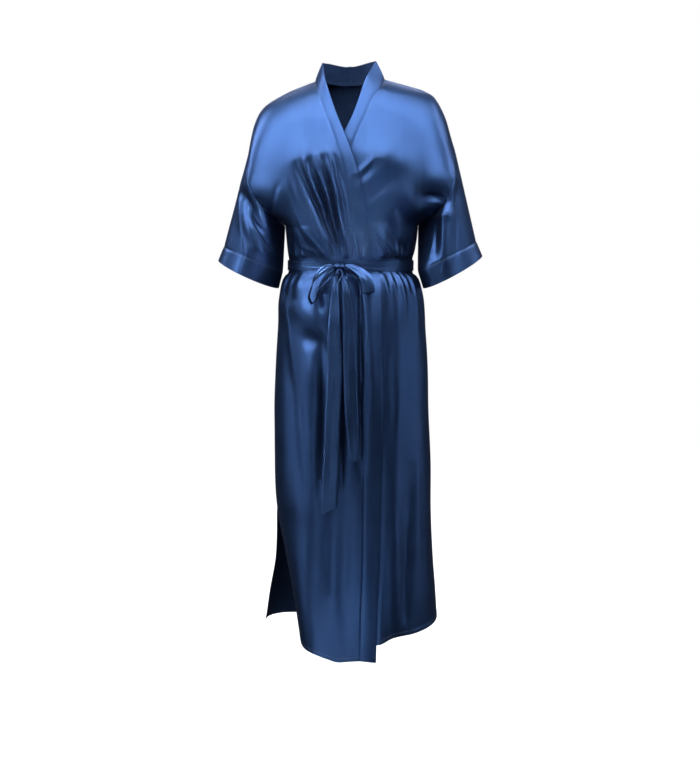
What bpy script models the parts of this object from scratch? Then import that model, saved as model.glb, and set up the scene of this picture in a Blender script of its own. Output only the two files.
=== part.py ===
# Long satin wrap robe, worn closed: right front over left, neckband down both front edges,
# dropped shoulders, elbow-length sleeves with cuff bands, and a self belt tied in a bow.
#
# Metres, +Z up, the front faces -Y and the wearer's right is at -X. The origin is at the middle
# of the neck, level with the point where the shoulder meets the neckband: the robe hangs from there.
#
# Every piece is a grid of points on one form, the cloth's outer face, given a wall. Two numbers
# find a point of the form. "side" runs from -1 at the wearer's right to +1 at the left, with 0 in
# the middle of the front or back. "level" runs from 0 at the shoulder line to 1 at the underarm,
# 2 at the belt and 3 at the hem.
import math
from collections import namedtuple

import bmesh
import bpy
import numpy as np

# Cloth
PANEL_WALL = 0.0016
BAND_WALL = 0.0020
SEAM_GAP = 0.0004
LAYER_GAP = 0.0012
TUCK_DEPTH = 0.0030
BAND_LIFT = LAYER_GAP + BAND_WALL
PANEL_LIFT = LAYER_GAP + PANEL_WALL

# Heights of the main levels
UNDERARM_Z = -0.320
BELT_Z = -0.405
SLIT_Z = -0.940
HEM_Z = -1.220

# Grid of the solids
SIDE_COLUMNS = 18
NECK_COLUMNS = 2
TUCK_COLUMNS = 5
BAND_COLUMNS = 2
BELT_STEP = 0.08
YOKE_LEVELS = [0, 0.12, 0.25, 0.38, 0.52, 0.66, 0.79, 0.90, 1]
WAIST_HEIGHTS = [-0.344, -0.368, -0.390]
SKIRT_HEIGHTS = [-0.420, -0.434, -0.455, -0.485, -0.530, -0.600, -0.690, -0.800, SLIT_Z,
                 -1.030, -1.120, HEM_Z]

# The shoulder line: share of the way out to the armhole, and the drop of each shoulder
Shoulder = namedtuple("Shoulder", "out drop_right drop_left")
SHOULDER = [
    Shoulder(0.00, 0.000, 0.000),
    Shoulder(0.35, 0.013, 0.009),
    Shoulder(0.57, 0.029, 0.021),
    Shoulder(0.73, 0.047, 0.034),
    Shoulder(0.80, 0.057, 0.046),
    Shoulder(0.865, 0.070, 0.070),
    Shoulder(0.913, 0.086, 0.095),
    Shoulder(0.96, 0.114, 0.132),
    Shoulder(1.00, 0.161, 0.161),
]

# The armhole seam, from the top of the shoulder to the underarm
Armhole = namedtuple("Armhole", "level out_right out_left front back height turn")
ARMHOLE = [
    Armhole(0.0, 0.2185, 0.2287, 0.000, 0.000, -0.161, 48),
    Armhole(0.2, 0.2185, 0.2240, 0.036, 0.036, -0.178, 50),
    Armhole(0.4, 0.2170, 0.2205, 0.062, 0.060, -0.205, 54),
    Armhole(0.6, 0.2090, 0.2140, 0.073, 0.072, -0.241, 62),
    Armhole(0.8, 0.1830, 0.1900, 0.063, 0.063, -0.285, 75),
    Armhole(1.0, 0.1400, 0.1476, 0.000, 0.000, UNDERARM_Z, 90),
]

# The middle line of the form from the neck to the underarm level, front and back
Middle = namedtuple("Middle", "level front front_height back back_height")
MIDDLE = [
    Middle(0.0, 0.000, 0.000, 0.000, 0.000),
    Middle(0.1, 0.042, -0.022, 0.038, -0.004),
    Middle(0.2, 0.070, -0.050, 0.066, -0.014),
    Middle(0.3, 0.089, -0.083, 0.082, -0.040),
    Middle(0.4, 0.102, -0.118, 0.093, -0.076),
    Middle(0.6, 0.118, -0.187, 0.106, -0.155),
    Middle(0.8, 0.125, -0.255, 0.109, -0.238),
    Middle(1.0, 0.125, UNDERARM_Z, 0.104, UNDERARM_Z),
]
BACK_NECK_LEVEL = 0.2

# Sections below the underarm: where the side edges of the front and back lie on the wearer's
# right, how wide the left is, and how deep the front and back are. Below the slit the right
# front swings inward and the right back swings out.
Section = namedtuple("Section", "z front_out front_in back_out back_in left front back")
SECTIONS = [
    Section(UNDERARM_Z, 0.1400, 0.000, 0.1400, 0.000, 0.1476, 0.125, 0.104),
    Section(-0.350, 0.1375, 0.000, 0.1375, 0.000, 0.1445, 0.122, 0.101),
    Section(-0.375, 0.1350, 0.000, 0.1350, 0.000, 0.1400, 0.116, 0.096),
    Section(-0.392, 0.1325, 0.000, 0.1325, 0.000, 0.1355, 0.111, 0.091),
    Section(-0.418, 0.1330, 0.000, 0.1330, 0.000, 0.1355, 0.110, 0.090),
    Section(-0.440, 0.1440, 0.000, 0.1440, 0.000, 0.1480, 0.120, 0.100),
    Section(-0.480, 0.1530, 0.000, 0.1530, 0.000, 0.1600, 0.127, 0.112),
    Section(-0.545, 0.1575, 0.000, 0.1575, 0.000, 0.1650, 0.133, 0.126),
    Section(-0.611, 0.1620, 0.000, 0.1620, 0.000, 0.1695, 0.137, 0.134),
    Section(-0.720, 0.1660, 0.000, 0.1660, 0.000, 0.1725, 0.140, 0.136),
    Section(-0.840, 0.1660, 0.000, 0.1660, 0.000, 0.1780, 0.143, 0.138),
    Section(SLIT_Z, 0.1605, 0.000, 0.1620, 0.000, 0.1790, 0.148, 0.143),
    Section(-1.047, 0.1380, -0.034, 0.1650, 0.006, 0.1840, 0.154, 0.150),
    Section(-1.130, 0.1210, -0.062, 0.1790, 0.016, 0.1905, 0.158, 0.157),
    Section(-1.260, 0.0970, -0.088, 0.1980, 0.030, 0.1980, 0.161, 0.166),
]
ROUNDNESS = 0.85

# The hems, by how far round the piece they are
Hem = namedtuple("Hem", "side z")
RIGHT_FRONT_HEM = [Hem(-1.0, -1.206), Hem(-0.9, -1.211), Hem(-0.51, -1.2255), Hem(-0.33, -1.2345),
                   Hem(-0.15, -1.2425), Hem(0.06, -1.2405), Hem(0.18, -1.2448), Hem(1.0, -1.2448)]
LEFT_FRONT_HEM = [Hem(-1.0, -1.2000), Hem(0.0, -1.2080), Hem(0.19, -1.2084), Hem(0.32, -1.1955),
                  Hem(0.51, -1.1925), Hem(0.80, -1.1850), Hem(1.0, -1.1800)]
BACK_HEM = [Hem(-1.0, -1.203), Hem(-0.6, -1.213), Hem(-0.3, -1.221), Hem(0.0, -1.222),
            Hem(0.5, -1.210), Hem(1.0, -1.180)]

BELT_HEM = [Hem(-1.0, HEM_Z), Hem(1.0, HEM_Z)]

# The neckband down the front: where its seam and its free edge lie as seen from the front. The
# right front's band lies on top.
Band = namedtuple("Band", "z seam edge")
RIGHT_BAND = [
    Band(0.000, -0.0800, -0.0610), Band(-0.030, -0.0700, -0.0530), Band(-0.060, -0.0610, -0.0405),
    Band(-0.095, -0.0480, -0.0265), Band(-0.128, -0.0354, -0.0125), Band(-0.190, -0.0155, 0.0104),
    Band(-0.248, -0.0040, 0.0240), Band(-0.315, 0.0055, 0.0382), Band(-0.382, 0.0184, 0.0480),
    Band(-0.430, 0.0270, 0.0610), Band(-0.480, 0.0325, 0.0640), Band(-0.590, 0.0345, 0.0655),
    Band(-0.680, 0.0345, 0.0695), Band(-0.860, 0.0290, 0.0662), Band(-1.030, 0.0275, 0.0625),
    Band(-1.130, 0.0235, 0.0580), Band(-1.245, 0.0215, 0.0548),
]
LEFT_BAND = [
    Band(0.000, 0.0800, 0.0610), Band(-0.030, 0.0620, 0.0330), Band(-0.060, 0.0430, 0.0195),
    Band(-0.095, 0.0290, 0.0045), Band(-0.128, 0.0140, -0.0125), Band(-0.190, -0.0090, -0.0360),
    Band(-0.248, -0.0210, -0.0510), Band(-0.315, -0.0300, -0.0620), Band(-0.382, -0.0340, -0.0680),
    Band(-0.480, -0.0370, -0.0730), Band(-0.860, -0.0360, -0.0730), Band(-1.245, -0.0330, -0.0680),
]
# How far the band's free edge stands up beside the neck, and how its back half leans in and rises
Stand = namedtuple("Stand", "level rise")
STAND = [Stand(0.0, 0.036), Stand(0.1, 0.021), Stand(0.2, 0.010), Stand(0.32, 0.003),
         Stand(0.44, 0.0), Stand(3.0, 0.0)]
NECK_LEAN = 0.76
NECK_RISE = 0.0385

# How the right front is lifted over the left, by x and by z, and how the left is tucked beneath it
OVER_ACROSS = (-0.128, -0.092)
OVER_DOWN = (-0.055, -0.105)
HIDDEN_ACROSS = (-0.010, 0.012)
HIDDEN_DOWN = (-0.090, -0.135)
UNDER_SHOWN = 0.02

# Ends of each sleeve: the outer and inner points of the cuff's seam and of its lower edge,
# and how far forward the inner side is drawn
Cuff = namedtuple("Cuff", "seam_out seam_out_z seam_in seam_in_z "
                          "edge_out edge_out_z edge_in edge_in_z forward")
CUFFS = {
    -1: Cuff(0.2731, -0.364, 0.1450, -0.414, 0.2856, -0.394, 0.1550, -0.4530, 0.010),
    1: Cuff(0.2732, -0.353, 0.1450, -0.413, 0.2867, -0.384, 0.1575, -0.4520, 0.045),
}
CUFF_DROOP = 0.006
CUFF_DEPTH = 0.068
SLEEVE_RINGS = 7
CUFF_RINGS = 2

# Folds of the front and back as seen from the front: a soft ridge (height above 0) or trough
# from one end to the other, bowed sideways in the middle, with its half width
Fold = namedtuple("Fold", "x0 z0 x1 z1 bow width height")
FRONT_FOLDS = [
    Fold(-0.108, -0.196, -0.026, -0.388, -0.003, 0.0110, -0.0090),
    Fold(-0.0945, -0.190, -0.0225, -0.388, -0.003, 0.0058, 0.0050),
    Fold(-0.082, -0.192, -0.019, -0.388, -0.003, 0.0070, -0.0075),
    Fold(-0.069, -0.180, -0.014, -0.388, -0.003, 0.0058, 0.0052),
    Fold(-0.0585, -0.186, -0.010, -0.386, -0.002, 0.0068, -0.0065),
    Fold(-0.046, -0.170, -0.004, -0.384, -0.002, 0.0065, 0.0045),
    Fold(-0.034, -0.184, 0.006, -0.380, -0.002, 0.0080, -0.0040),
    Fold(-0.168, -0.318, -0.062, -0.332, -0.003, 0.0320, 0.0085),
    Fold(0.104, -0.294, 0.156, -0.288, 0.000, 0.0280, 0.0050),
    Fold(-0.222, -0.236, -0.150, -0.256, 0.000, 0.0300, 0.0060),
    Fold(0.012, -0.212, 0.046, -0.184, 0.003, 0.0070, 0.0030),
    Fold(0.020, -0.242, 0.076, -0.196, 0.003, 0.0080, 0.0018),
    Fold(0.030, -0.268, 0.096, -0.216, 0.004, 0.0180, -0.0045),
    Fold(0.084, -0.318, 0.120, -0.372, 0.006, 0.0120, -0.0060),
    Fold(0.056, -0.325, 0.092, -0.374, 0.005, 0.0120, 0.0040),
    Fold(0.100, -0.268, 0.146, -0.330, 0.006, 0.0150, -0.0075),
    Fold(0.150, -0.218, 0.214, -0.226, 0.000, 0.0260, 0.0050),
    Fold(0.152, -0.262, 0.206, -0.272, -0.004, 0.0150, -0.0100),
    Fold(0.158, -0.308, 0.212, -0.296, -0.004, 0.0110, 0.0060),
    Fold(0.214, -0.225, 0.200, -0.390, 0.004, 0.0140, 0.0060),
    Fold(0.186, -0.290, 0.176, -0.395, 0.004, 0.0130, -0.0065),
    Fold(-0.224, -0.256, -0.168, -0.326, 0.003, 0.0130, -0.0110),
    Fold(-0.222, -0.296, -0.180, -0.385, 0.004, 0.0120, 0.0070),
    Fold(-0.150, -0.256, -0.158, -0.318, 0.002, 0.0120, 0.0050),
    Fold(-0.124, -0.436, -0.040, -0.508, -0.022, 0.0170, 0.0080),
    Fold(-0.100, -0.548, -0.036, -0.553, 0.000, 0.0170, -0.0060),
    Fold(-0.130, -0.470, -0.100, -0.700, 0.003, 0.0120, -0.0075),
    Fold(-0.116, -0.500, -0.084, -0.640, 0.003, 0.0120, 0.0055),
    Fold(-0.124, -0.640, -0.094, -0.860, 0.003, 0.0130, -0.0060),
    Fold(-0.000, -0.425, 0.034, -0.600, -0.004, 0.0110, -0.0070),
    Fold(0.014, -0.460, 0.044, -0.720, 0.002, 0.0110, 0.0055),
    Fold(-0.054, -0.620, -0.062, -1.100, 0.003, 0.0180, -0.0065),
    Fold(-0.010, -0.560, -0.014, -1.180, 0.002, 0.0150, -0.0060),
    Fold(0.104, -0.450, 0.098, -0.780, 0.003, 0.0140, 0.0060),
    Fold(0.084, -0.480, 0.080, -0.760, 0.003, 0.0130, -0.0050),
    Fold(0.130, -0.840, 0.120, -1.150, 0.003, 0.0150, -0.0065),
    Fold(0.090, -0.780, 0.096, -1.170, 0.003, 0.0180, 0.0065),
]
BACK_FOLDS = [
    Fold(-0.180, -0.250, -0.060, -0.374, 0.008, 0.0150, -0.0070),
    Fold(0.182, -0.248, 0.058, -0.374, -0.008, 0.0150, -0.0070),
    Fold(-0.150, -0.180, -0.080, -0.334, 0.006, 0.0160, 0.0065),
    Fold(0.146, -0.176, 0.084, -0.336, -0.006, 0.0160, 0.0060),
    Fold(-0.032, -0.236, -0.024, -0.378, 0.002, 0.0130, -0.0060),
    Fold(0.030, -0.222, 0.020, -0.376, 0.002, 0.0130, 0.0060),
    Fold(-0.214, -0.270, -0.180, -0.390, 0.004, 0.0130, -0.0065),
    Fold(0.214, -0.262, 0.186, -0.390, 0.004, 0.0130, -0.0065),
    Fold(-0.092, -0.480, -0.112, -1.080, 0.004, 0.0180, 0.0075),
    Fold(-0.036, -0.520, -0.044, -1.190, 0.003, 0.0180, -0.0070),
    Fold(0.026, -0.470, 0.032, -1.140, 0.003, 0.0180, 0.0075),
    Fold(0.088, -0.500, 0.106, -1.170, 0.003, 0.0180, -0.0070),
]

# Gathers that the belt draws in: where each starts, its half width, its height and its reach
Gather = namedtuple("Gather", "side width height reach")
FRONT_GATHERS = [
    Gather(-0.90, 0.034, 0.0055, 0.060), Gather(-0.78, 0.034, 0.0065, 0.080),
    Gather(-0.65, 0.034, 0.0055, 0.065), Gather(-0.52, 0.034, 0.0050, 0.050),
    Gather(-0.04, 0.034, 0.0050, 0.070), Gather(0.13, 0.034, 0.0050, 0.060),
    Gather(0.33, 0.028, 0.0060, 0.085), Gather(0.42, 0.028, 0.0050, 0.060),
    Gather(0.51, 0.028, 0.0065, 0.100), Gather(0.60, 0.028, 0.0052, 0.065),
    Gather(0.69, 0.028, 0.0065, 0.095), Gather(0.78, 0.028, 0.0052, 0.060),
    Gather(0.87, 0.028, 0.0060, 0.080),
]
BACK_GATHERS = [
    Gather(-0.88, 0.034, 0.0055, 0.070), Gather(-0.75, 0.034, 0.0065, 0.095),
    Gather(-0.61, 0.034, 0.0055, 0.065), Gather(-0.47, 0.034, 0.0065, 0.100),
    Gather(-0.32, 0.036, 0.0055, 0.070), Gather(-0.16, 0.036, 0.0065, 0.090),
    Gather(0.02, 0.036, 0.0055, 0.075), Gather(0.18, 0.036, 0.0065, 0.100),
    Gather(0.33, 0.036, 0.0055, 0.065), Gather(0.48, 0.034, 0.0065, 0.095),
    Gather(0.62, 0.034, 0.0055, 0.070), Gather(0.76, 0.034, 0.0065, 0.085),
    Gather(0.89, 0.034, 0.0055, 0.065),
]
GATHER_SPREAD = 1.6
GATHER_ABOVE = 0.5

# How folds end, and how they calm down at the belt, the side seams and the underarm
FOLD_END = 0.08
FOLD_FULLNESS = 0.7
SEAM_CALM = 0.12
RELIEF_FADE_Y = 0.030
BELT_CALM = 0.0152
EDGE_CALM = 0.010
UNDERARM_X = 0.144
UNDERARM_CALM = (0.050, 0.090)
SMOOTH_SEAM = 0.6
SHARP_EDGE = 50

# Bust: a soft rise on each side of the chest
BUST_X = 0.074
BUST_Z = -0.178
BUST_WIDTH = 0.042
BUST_HEIGHT = 0.036
BUST_RISE = 0.0110

# Belt: height of its edges by where they are, and the parts of the bow
BeltEdge = namedtuple("BeltEdge", "side front_top front_bottom")
BELT_EDGES = [
    BeltEdge(-1.00, -0.3940, -0.4150), BeltEdge(-0.60, -0.3950, -0.4140),
    BeltEdge(-0.22, -0.3990, -0.4100), BeltEdge(-0.10, -0.4000, -0.4100),
    BeltEdge(0.06, -0.4000, -0.4110), BeltEdge(0.35, -0.3950, -0.4150),
    BeltEdge(1.00, -0.3940, -0.4160),
]
BELT_WALL = 0.0016
BELT_STEP_DOWN = (0.060, 0.090)
KNOT_RIGHT_SIDE = -0.145
KNOT_LEFT_SIDE = -0.095
KNOT_SIZE = (0.0125, 0.0080, 0.0085)
KNOT_CENTRE = (-0.0225, -0.1223, -0.4045)
KNOT_CREASES = 3
KNOT_CREASE = 0.14

# Ribbons of the bow: middle line, width, and which way the width runs: straight back at 0, with
# lean turning it up and swing turning it sideways
Ribbon = namedtuple("Ribbon", "x y z width lean swing")
BOW_RIGHT = [
    Ribbon(-0.0362, -0.1225, -0.4020, 0.006, 40, 0), Ribbon(-0.047, -0.1300, -0.4050, 0.014, 40, 0),
    Ribbon(-0.061, -0.1390, -0.4150, 0.022, 36, 0), Ribbon(-0.074, -0.1440, -0.4310, 0.027, 32, 4),
    Ribbon(-0.082, -0.1450, -0.4510, 0.028, 22, 6), Ribbon(-0.0855, -0.1450, -0.4690, 0.028, 12, 6),
    Ribbon(-0.0785, -0.1440, -0.4815, 0.028, 6, 6), Ribbon(-0.0700, -0.1430, -0.4720, 0.027, 12, 6),
    Ribbon(-0.065, -0.1410, -0.4550, 0.025, 22, 6), Ribbon(-0.057, -0.1370, -0.4380, 0.020, 30, 4),
    Ribbon(-0.047, -0.1310, -0.4240, 0.012, 36, 0), Ribbon(-0.0353, -0.1225, -0.4095, 0.006, 40, 0),
]
BOW_LEFT = [
    Ribbon(-0.0087, -0.1225, -0.4020, 0.006, 40, 0), Ribbon(0.003, -0.1310, -0.4050, 0.014, 42, 8),
    Ribbon(0.016, -0.1390, -0.4125, 0.021, 40, 24), Ribbon(0.028, -0.1425, -0.4220, 0.025, 28, 50),
    Ribbon(0.035, -0.1430, -0.4350, 0.027, 12, 74), Ribbon(0.037, -0.1425, -0.4490, 0.028, 4, 84),
    Ribbon(0.037, -0.1385, -0.4585, 0.028, 2, 86), Ribbon(0.036, -0.1340, -0.4500, 0.028, 4, 84),
    Ribbon(0.033, -0.1320, -0.4380, 0.026, 10, 76), Ribbon(0.024, -0.1300, -0.4270, 0.020, 24, 54),
    Ribbon(0.009, -0.1275, -0.4180, 0.012, 34, 24), Ribbon(-0.0097, -0.1225, -0.4095, 0.006, 40, 0),
]
KNOT_LOOP = [
    Ribbon(-0.0250, -0.1282, -0.4105, 0.007, 10, 0), Ribbon(-0.0280, -0.1318, -0.4170, 0.010, 10, 0),
    Ribbon(-0.0290, -0.1335, -0.4240, 0.011, 10, 0), Ribbon(-0.0245, -0.1340, -0.4310, 0.011, 6, 0),
    Ribbon(-0.0185, -0.1337, -0.4290, 0.011, 6, 0), Ribbon(-0.0160, -0.1320, -0.4215, 0.010, 8, 0),
    Ribbon(-0.0195, -0.1282, -0.4105, 0.007, 10, 0),
]
RIBBON_WALL = 0.0014
RIBBON_STATIONS = 22

# Tails: middle line seen from the front, width, how far they hang clear of the skirt, and how the
# cut end slants
Tail = namedtuple("Tail", "z x width clear")
LONG_TAIL = [
    Tail(-0.4136, -0.0264, 0.008, 0.0050), Tail(-0.4350, -0.0300, 0.013, 0.0056),
    Tail(-0.4700, -0.0320, 0.018, 0.0060), Tail(-0.5350, -0.0335, 0.026, 0.0040),
    Tail(-0.6160, -0.0330, 0.0305, 0.0035), Tail(-0.7220, -0.0375, 0.0315, 0.0035),
    Tail(-0.8250, -0.0405, 0.0330, 0.0035), Tail(-0.9177, -0.0450, 0.0310, 0.0035),
]
SHORT_TAIL = [
    Tail(-0.4137, -0.0176, 0.008, 0.0050), Tail(-0.4350, -0.0115, 0.012, 0.0056),
    Tail(-0.4700, -0.0065, 0.018, 0.0060), Tail(-0.5350, -0.0020, 0.024, 0.0040),
    Tail(-0.6160, 0.0000, 0.0275, 0.0035), Tail(-0.7340, 0.0045, 0.0265, 0.0035),
    Tail(-0.8107, 0.0086, 0.0200, 0.0035),
]
LONG_TAIL_SLANT = -0.0160
SHORT_TAIL_SLANT = 0.0080
SLANT_POWER = 6
TAIL_ROWS = 18
TAIL_EASING = 3
POINTS_ACROSS = 3
HALVINGS = 40


def column(table, name):
    """One named column of a table."""
    return [getattr(row, name) for row in table]


def smooth(table, across, name, at):
    """Reads a smooth curve through one column of a short table, held flat past its ends."""
    xs = np.array(column(table, across), float)
    ys = np.array(column(table, name), float)
    order = np.argsort(xs)
    xs = xs[order]
    ys = ys[order]
    rise = np.diff(ys) / np.diff(xs)
    slope = np.concatenate([rise[:1], (rise[:-1] + rise[1:]) / 2, rise[-1:]])
    # A slope is held to three times its neighbours', and level at a peak, so nothing overshoots
    least = np.minimum(np.abs(np.append(rise[:1], rise)), np.abs(np.append(rise, rise[-1:])))
    peak = np.append(rise[:1], rise) * np.append(rise, rise[-1:]) <= 0
    slope = np.where(peak, 0, np.clip(slope, -3 * least, 3 * least))
    at = np.clip(at, xs[0], xs[-1])
    i = np.clip(np.searchsorted(xs, at) - 1, 0, len(xs) - 2)
    span = xs[i + 1] - xs[i]
    t = (at - xs[i]) / span
    return (ys[i] * (1 + 2 * t) * (1 - t) ** 2 + ys[i + 1] * t * t * (3 - 2 * t)
            + span * t * (1 - t) * (slope[i] * (1 - t) - slope[i + 1] * t))


def ramp(value, start, end):
    """Goes softly from 0 at start to 1 at end."""
    t = np.clip((value - start) / (end - start), 0, 1)
    return t * t * (3 - 2 * t)


def level_of(z):
    """The level of a height below the belt, on a piece whose hem is at HEM_Z."""
    if z > BELT_Z:
        return 1 + (UNDERARM_Z - z) / (UNDERARM_Z - BELT_Z)
    return 2 + (BELT_Z - z) / (BELT_Z - HEM_Z)


LEVELS = YOKE_LEVELS + [level_of(z) for z in WAIST_HEIGHTS + SKIRT_HEIGHTS]


def form(face, side, level, hem):
    """Points of the undraped form on the front (face -1) or back (face 1)."""
    side, level = np.broadcast_arrays(np.asarray(side, float), np.asarray(level, float))
    right = side < 0
    name = "front" if face < 0 else "back"
    # Above the underarm the rows run from the middle line to the armhole
    turn = np.radians(smooth(ARMHOLE, "level", "turn", level))
    angle = np.abs(side) * turn
    out = np.sin(angle) / np.sin(turn)
    deep = np.cos(angle) ** ROUNDNESS
    deep_end = np.cos(turn).clip(0) ** ROUNDNESS
    reach = np.where(right, smooth(ARMHOLE, "level", "out_right", level),
                     smooth(ARMHOLE, "level", "out_left", level))
    arm_y = smooth(ARMHOLE, "level", name, level)
    arm_z = smooth(ARMHOLE, "level", "height", level)
    mid_y = smooth(MIDDLE, "level", name, level)
    mid_z = smooth(MIDDLE, "level", name + "_height", level)
    drop = np.where(right, smooth(SHOULDER, "out", "drop_right", out),
                    smooth(SHOULDER, "out", "drop_left", out)) / SHOULDER[-1].drop_left
    high_x = reach * out
    high_y = arm_y + (mid_y - arm_y) * (deep - deep_end) / (1 - deep_end)
    high_z = mid_z + (arm_z - mid_z) * drop
    # Below it they are level sections down to the belt, then spread out down to the hem
    hem_z = smooth(hem, "side", "z", side)
    low_z = np.where(level < 2, UNDERARM_Z + (BELT_Z - UNDERARM_Z) * (level - 1),
                     BELT_Z + (hem_z - BELT_Z) * (level - 2))
    angle = np.abs(side) * math.pi / 2
    edge_x = np.where(right, smooth(SECTIONS, "z", name + "_out", low_z),
                      smooth(SECTIONS, "z", "left", low_z))
    edge_y = np.where(right, smooth(SECTIONS, "z", name + "_in", low_z), 0)
    depth = smooth(SECTIONS, "z", name, low_z)
    low_x = edge_x * np.sin(angle)
    middle = edge_y * np.sin(angle) ** 2
    low_y = middle + face * depth * np.cos(angle).clip(0) ** ROUNDNESS
    yoke = level <= 1
    x = np.where(yoke, high_x, low_x) * np.where(right, -1, 1)
    y = np.where(yoke, face * high_y, low_y)
    z = np.where(yoke, high_z, low_z)
    return np.stack([x, y, z], axis=-1)


def find_side(table, name, level, hem):
    """How far round the front a line lies that is given by its x at each height."""
    low = np.full(len(level), -0.99)
    high = np.full(len(level), 0.99)
    for _ in range(HALVINGS):
        middle = (low + high) / 2
        point = form(-1, middle, level, hem)
        beyond = point[:, 0] > smooth(table, "z", name, point[:, 2])
        high = np.where(beyond, middle, high)
        low = np.where(beyond, low, middle)
    return (low + high) / 2


def fold_heights(points, folds):
    """Height of the soft ridges and troughs at each point, seen from the front."""
    x = points[..., 0]
    z = points[..., 2]
    total = np.zeros(x.shape)
    for fold in folds:
        along = np.array([fold.x1 - fold.x0, fold.z1 - fold.z0])
        length = np.hypot(*along)
        along = along / length
        t = ((x - fold.x0) * along[0] + (z - fold.z0) * along[1]) / length
        away = (x - fold.x0) * along[1] - (z - fold.z0) * along[0]
        inside = np.clip(t, 0, 1)
        away = away - fold.bow * 4 * inside * (1 - inside)
        past = (t - inside) * length
        swell = np.sin(math.pi * (FOLD_END + inside * (1 - 2 * FOLD_END))) ** FOLD_FULLNESS
        total += fold.height * swell * np.exp(-(away ** 2 + past ** 2) / fold.width ** 2)
    return total


def gather_heights(points, side, gathers):
    """Height of the gathers above and below the belt, fading away from it."""
    z = points[..., 2]
    down = np.abs(z - BELT_Z)
    total = np.zeros(z.shape)
    for gather in gathers:
        reach = np.where(z < BELT_Z, gather.reach, gather.reach * GATHER_ABOVE)
        fade = np.exp(-(down / reach) ** 2)
        width = gather.width * (1 + GATHER_SPREAD * down)
        total += gather.height * fade * np.exp(-((side - gather.side) / width) ** 2)
    return total


def away_from_underarm(points):
    """0 at the underarm, where the sleeve and the body fold together, and 1 clear of it."""
    x = np.abs(points[..., 0]) - UNDERARM_X
    z = points[..., 2] - UNDERARM_Z
    return ramp(np.sqrt(x * x + points[..., 1] ** 2 + z * z), *UNDERARM_CALM)


def relief(face, points, side, level):
    """How far the folds lift each point of the form, calm at the belt and at the side seams."""
    total = fold_heights(points, FRONT_FOLDS if face < 0 else BACK_FOLDS)
    gathers = FRONT_GATHERS if face < 0 else BACK_GATHERS
    total += np.where(level > 1, gather_heights(points, side, gathers), 0)
    if face < 0:
        bust = (((np.abs(points[..., 0]) - BUST_X) / BUST_WIDTH) ** 2
                + ((points[..., 2] - BUST_Z) / BUST_HEIGHT) ** 2)
        total += BUST_RISE * np.exp(-bust)
    # The belt presses the cloth flat, and the side seams hold it
    total *= ramp(np.abs(points[..., 2] - BELT_Z), BELT_CALM, BELT_CALM + EDGE_CALM)
    edge = np.where(level > 1, ramp(1 - np.abs(side), 0, SEAM_CALM),
                    ramp(np.abs(points[..., 1]), 0, RELIEF_FADE_Y))
    return total * edge * away_from_underarm(points)


def over_lift(points):
    """Share of its full lift that the right front has where it laps over the left."""
    return ramp(points[..., 0], *OVER_ACROSS) * ramp(points[..., 2], *OVER_DOWN)


def under_lift(points, height):
    """Lift of the left front: its folds where it shows, tucked in flat under the right front."""
    hidden_x = smooth(RIGHT_BAND, "z", "edge", points[..., 2])
    hidden = ramp(hidden_x - points[..., 0], *HIDDEN_ACROSS) * ramp(points[..., 2], *HIDDEN_DOWN)
    return height * (1 - hidden) + (np.minimum(height, 0) - TUCK_DEPTH) * hidden


def drawn_in(edge, inner):
    """Half a seam's gap, square to an edge and towards the cloth beside it."""
    along = np.gradient(edge, axis=0)
    along /= np.linalg.norm(along, axis=-1, keepdims=True)
    step = inner - edge
    step = step - (step * along).sum(axis=-1, keepdims=True) * along
    return SEAM_GAP / 2 * step / np.linalg.norm(step, axis=-1, keepdims=True)


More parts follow.
